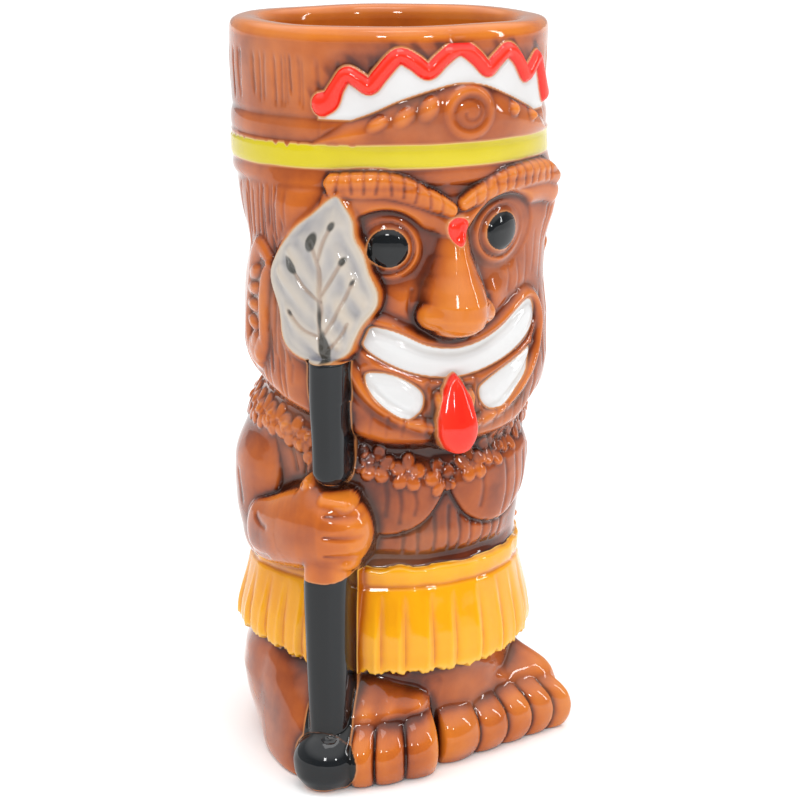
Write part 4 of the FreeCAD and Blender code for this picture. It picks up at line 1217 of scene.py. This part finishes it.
def make_piece(name, field, material, extra):
    """A closed piece: the surface over its region, a back inside the wall, and the walls between."""
    quads = quads_of(field > -1.0)
    if not quads.any():
        raise RuntimeError(f"{name} has no surface")
    used = np.zeros((N, M), bool)
    i, j = np.nonzero(quads)
    i2, j2 = (i + 1) % N, j + 1
    for a, b in ((i, j), (i2, j), (i, j2), (i2, j2)):
        used[a, b] = True
    index = np.full((N, M), -1)
    index[used] = np.arange(used.sum())
    count = int(used.sum())
    front = positions(dipped(field))[used]
    back = positions(BODY - 2.2)[used]
    top = np.stack([index[i, j], index[i2, j], index[i2, j2], index[i, j2]], 1)
    bottom = top[:, ::-1] + count
    faces = [top, bottom]
    around = np.zeros((N, M + 1), bool)
    around[:, 1:M] = quads
    left = np.roll(quads, 1, 0)
    right = np.roll(quads, -1, 0)
    for missing, ends in (
        (quads & ~left, ((0, 1), (0, 0))),
        (quads & ~right, ((1, 0), (1, 1))),
        (quads & ~around[:, : M - 1], ((0, 0), (1, 0))),
        (quads & ~around[:, 2:], ((1, 1), (0, 1))),
    ):
        p, q = np.nonzero(missing)
        (a0, b0), (a1, b1) = ends
        first = index[(p + a0) % N, q + b0]
        second = index[(p + a1) % N, q + b1]
        faces.append(np.stack([second, first, first + count, second + count], 1))
    points = np.vstack([front, back])
    inward = -positions(np.ones_like(A))[used] * np.array([1, 1, 0])
    normals = np.vstack([NORMALS[used], inward])
    values = {"cavity": cavity[used], "edge": extra["edge"][used]}
    for key in ("vein", "dot"):
        if key in extra:
            values[key] = extra[key][used]
    values = {key: np.concatenate([field, field]) for key, field in values.items()}
    return finish_mesh(name, points, np.vstack(faces).tolist(), normals, values, material)


INSIDE = [
    (187.0, 32.2), (180.0, 32.0), (170.0, 31.8), (157.0, 31.6), (140.0, 31.4), (120.0, 31.1), (104.0, 30.8),
    (97.0, 29.6), (91.0, 27.9), (84.0, 28.6), (70.0, 29.5), (57.0, 29.2), (44.0, 28.9), (30.0, 28.4),
    (18.0, 27.8),
    (13.5, 26.9), (11.0, 25.2), (9.6, 22.6), (9.1, 18.0), (9.0, 10.0), (9.0, 4.0),
]  # fmt: skip
UNDER = [(0.0, 29.0), (0.5, 28.0), (1.3, 27.4), (1.6, 26.4), (1.6, 14.0), (1.6, 4.0)]


def make_cup(material, edge):
    """The cup: the wall where no feature covers it, the lip, the inside, the floor and the foot recess."""
    outer = positions(dipped(region["cup"]))
    wall = outer[:, ::-1].transpose(1, 0, 2)  # rows from the lip down to the foot
    top_radius = surface[:, -1]
    rings = []
    turn = np.radians(ANGLES)

    def ring(radius, height):
        radius = np.broadcast_to(radius, turn.shape)
        rings.append(np.stack([radius * np.sin(turn), -radius * np.cos(turn),
            np.broadcast_to(height, turn.shape)], 1))

    for height, radius in INSIDE[::-1]:
        ring(radius, height)
    middle, half = (top_radius + INNER_LIP) / 2, (top_radius - INNER_LIP) / 2
    wobble = 0.12 * np.sin(turn * 3 + 1.0) + 0.07 * np.sin(turn * 7)
    for step in range(1, 14):
        swing = math.pi * (1 - step / 14)
        flat = abs(math.cos(swing)) ** 0.72 * math.copysign(1, math.cos(swing))
        ring(middle + half * flat, WALL_TOP + (LIP_RISE + wobble) * math.sin(swing) ** 0.62)
    first_wall = len(rings)
    rings.extend(wall)
    last_wall = len(rings)
    for height, radius in UNDER:
        ring(radius, height)
    points = np.vstack(rings)
    rows = len(rings)
    row, col = np.meshgrid(np.arange(rows - 1), np.arange(N), indexing="ij")
    nxt = (col + 1) % N
    faces = np.stack([row * N + col, (row + 1) * N + col, (row + 1) * N + nxt, row * N + nxt],
        -1).reshape(-1, 4)
    faces = faces.tolist()
    floor, base = len(points), len(points) + 1
    points = np.vstack([points, [[0, 0, INSIDE[-1][0]], [0, 0, UNDER[-1][0]]]])
    last = (rows - 1) * N
    for c in range(N):
        faces.append([floor, c, (c + 1) % N])
        faces.append([base, last + (c + 1) % N, last + c])
    values = {}
    for key, field, plain in (("cavity", cavity, 0.0), ("edge", edge, 20.0)):
        flat = np.full(len(points), plain)
        flat[first_wall * N : last_wall * N] = field[:, ::-1].T.reshape(-1)
        values[key] = flat
    # painted light: the inside of the cup is drawn lighter, and its lip lighter still
    lip_rows = np.zeros(len(points))
    lip_rows[: first_wall * N] = 0.3
    lip_rows[(first_wall - 13) * N : first_wall * N] = 0.55
    values["cavity"] = values["cavity"] + lip_rows
    cup = finish_mesh("cup_wall", points, faces, None, values, material)
    mesh = cup.data
    normals = np.zeros((len(points), 3), np.float32)
    mesh.vertex_normals.foreach_get("vector", normals.reshape(-1))
    part = NORMALS[:, ::-1].transpose(1, 0, 2).reshape(-1, 3)
    normals[first_wall * N : last_wall * N] = part
    mesh.normals_split_custom_set_from_vertices(normals.tolist())
    return cup


SLOTS = {n["node"]: n["material_slot"] for n in frame["record"]["subparts"]}
brown_edge = np.clip(-painted, 0.0, 20.0)
pieces = {}
pieces["cup"] = make_cup(MATERIALS["brown_glaze"], brown_edge)
for name in ORDER:
    target = "spear_blade" if name == "blade_rim" else name
    slot = "brown_glaze" if name == "blade_rim" else SLOTS[target]
    edge = brown_edge if slot == "brown_glaze" else np.clip(region[name], 0.0, 20.0)
    if name in ("waistband", "skirt"):
        cloth = np.maximum(own["skirt"], own["waistband"])
        over = np.maximum.reduce([own[n] for n in ("right_fist", "right_arm", "spear_shaft_lower",
            "left_hand")])
        edge = np.clip(np.minimum(cloth, -over), 0.0, 20.0)
    extra = {"edge": edge, "vein": vein_field, "dot": dot_field} if name == "spear_blade" else {"edge": edge}
    pieces[name] = make_piece(name + "_glazed", region[name], MATERIALS[slot], extra)

for name, obj in pieces.items():
    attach(obj, "root")
    if name == "blade_rim":
        continue
    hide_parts(name)

# --- floor, lights and camera ------------------------------------------------------------------------------


def make_stage():
    mesh = bpy.data.meshes.new("floor")
    size = 40.0
    mesh.from_pydata([(-size, -size, 0), (size, -size, 0), (size, size, 0), (-size, size, 0)], [],
        [(0, 1, 2, 3)])
    floor = bpy.data.objects.new("floor", mesh)
    bpy.context.scene.collection.objects.link(floor)
    material = bpy.data.materials.new("pale_floor")
    material.use_nodes = True
    shader = material.node_tree.nodes["Principled BSDF"]
    shader.inputs["Base Color"].default_value = (0.93, 0.93, 0.93, 1)
    shader.inputs["Roughness"].default_value = 0.6
    mesh.materials.append(material)
    world = bpy.data.worlds.new("studio")
    world.use_nodes = True
    tree = world.node_tree
    coords = node(tree, "ShaderNodeTexCoord", (-900, 0))
    axes = node(tree, "ShaderNodeSeparateXYZ", (-700, 0))
    tree.links.new(coords.outputs["Generated"], axes.inputs[0])
    # a bright room behind and above, dimmer on the side the mug faces
    ahead = mapped(tree, (-500, 100), axes.outputs["Y"], -0.6, 0.4, 0.26, 0.5)
    above = mapped(tree, (-500, -150), axes.outputs["Z"], 0.22, 0.8, 0.0, 1.75)
    power = node(tree, "ShaderNodeMath", (-250, 0), operation="MAXIMUM")
    tree.links.new(ahead, power.inputs[0])
    tree.links.new(above, power.inputs[1])
    background = tree.nodes["Background"]
    background.inputs["Color"].default_value = (1, 1, 1, 1)
    tree.links.new(power.outputs[0], background.inputs["Strength"])
    bpy.context.scene.world = world


def lamp(name, place, aim, size, power):
    light = bpy.data.lights.new(name, "AREA")
    light.shape = "RECTANGLE"
    light.size, light.size_y = size
    light.energy = power
    obj = bpy.data.objects.new(name, light)
    obj.location = place
    direction = np.array(aim) - np.array(place)
    obj.rotation_euler = Vector(direction).to_track_quat("-Z", "Y").to_euler()
    bpy.context.scene.collection.objects.link(obj)


# the photograph's view: degrees round from the face and down, metres from the axis, up and aside
VIEW_TURN, VIEW_DOWN = -25.0, 15.0
VIEW_DISTANCE, VIEW_HEIGHT, VIEW_ASIDE = 0.532, 0.2326, 0.0029
SENSOR_MM, LENS_PER_SENSOR = 36.0, 2.6


def make_camera():
    azimuth, pitch = math.radians(VIEW_TURN), math.radians(VIEW_DOWN)
    camera = bpy.data.cameras.new("photo_view")
    camera.sensor_width = SENSOR_MM
    camera.lens = SENSOR_MM * LENS_PER_SENSOR
    obj = bpy.data.objects.new("photo_view", camera)
    obj.location = (
        math.sin(azimuth) * VIEW_DISTANCE + math.cos(azimuth) * VIEW_ASIDE,
        -math.cos(azimuth) * VIEW_DISTANCE + math.sin(azimuth) * VIEW_ASIDE,
        VIEW_HEIGHT,
    )
    obj.rotation_euler = (math.pi / 2 - pitch, 0.0, azimuth)
    camera.clip_start = 0.01
    bpy.context.scene.collection.objects.link(obj)
    bpy.context.scene.camera = obj


make_stage()
lamp("window_left", (-0.62, -0.95, 0.72), (0, 0, 0.1), (0.16, 0.25), 3.7)
lamp("window_front", (0.12, -1.25, 0.66), (0, 0, 0.1), (0.09, 0.13), 2.0)
lamp("strip_right", (0.95, -0.5, 0.5), (0, 0, 0.1), (0.06, 0.6), 2.0)
lamp("top", (0.0, -0.1, 1.2), (0, 0, 0.1), (0.5, 0.4), 2.0)
make_camera()
bpy.context.scene.view_settings.view_transform = "Standard"
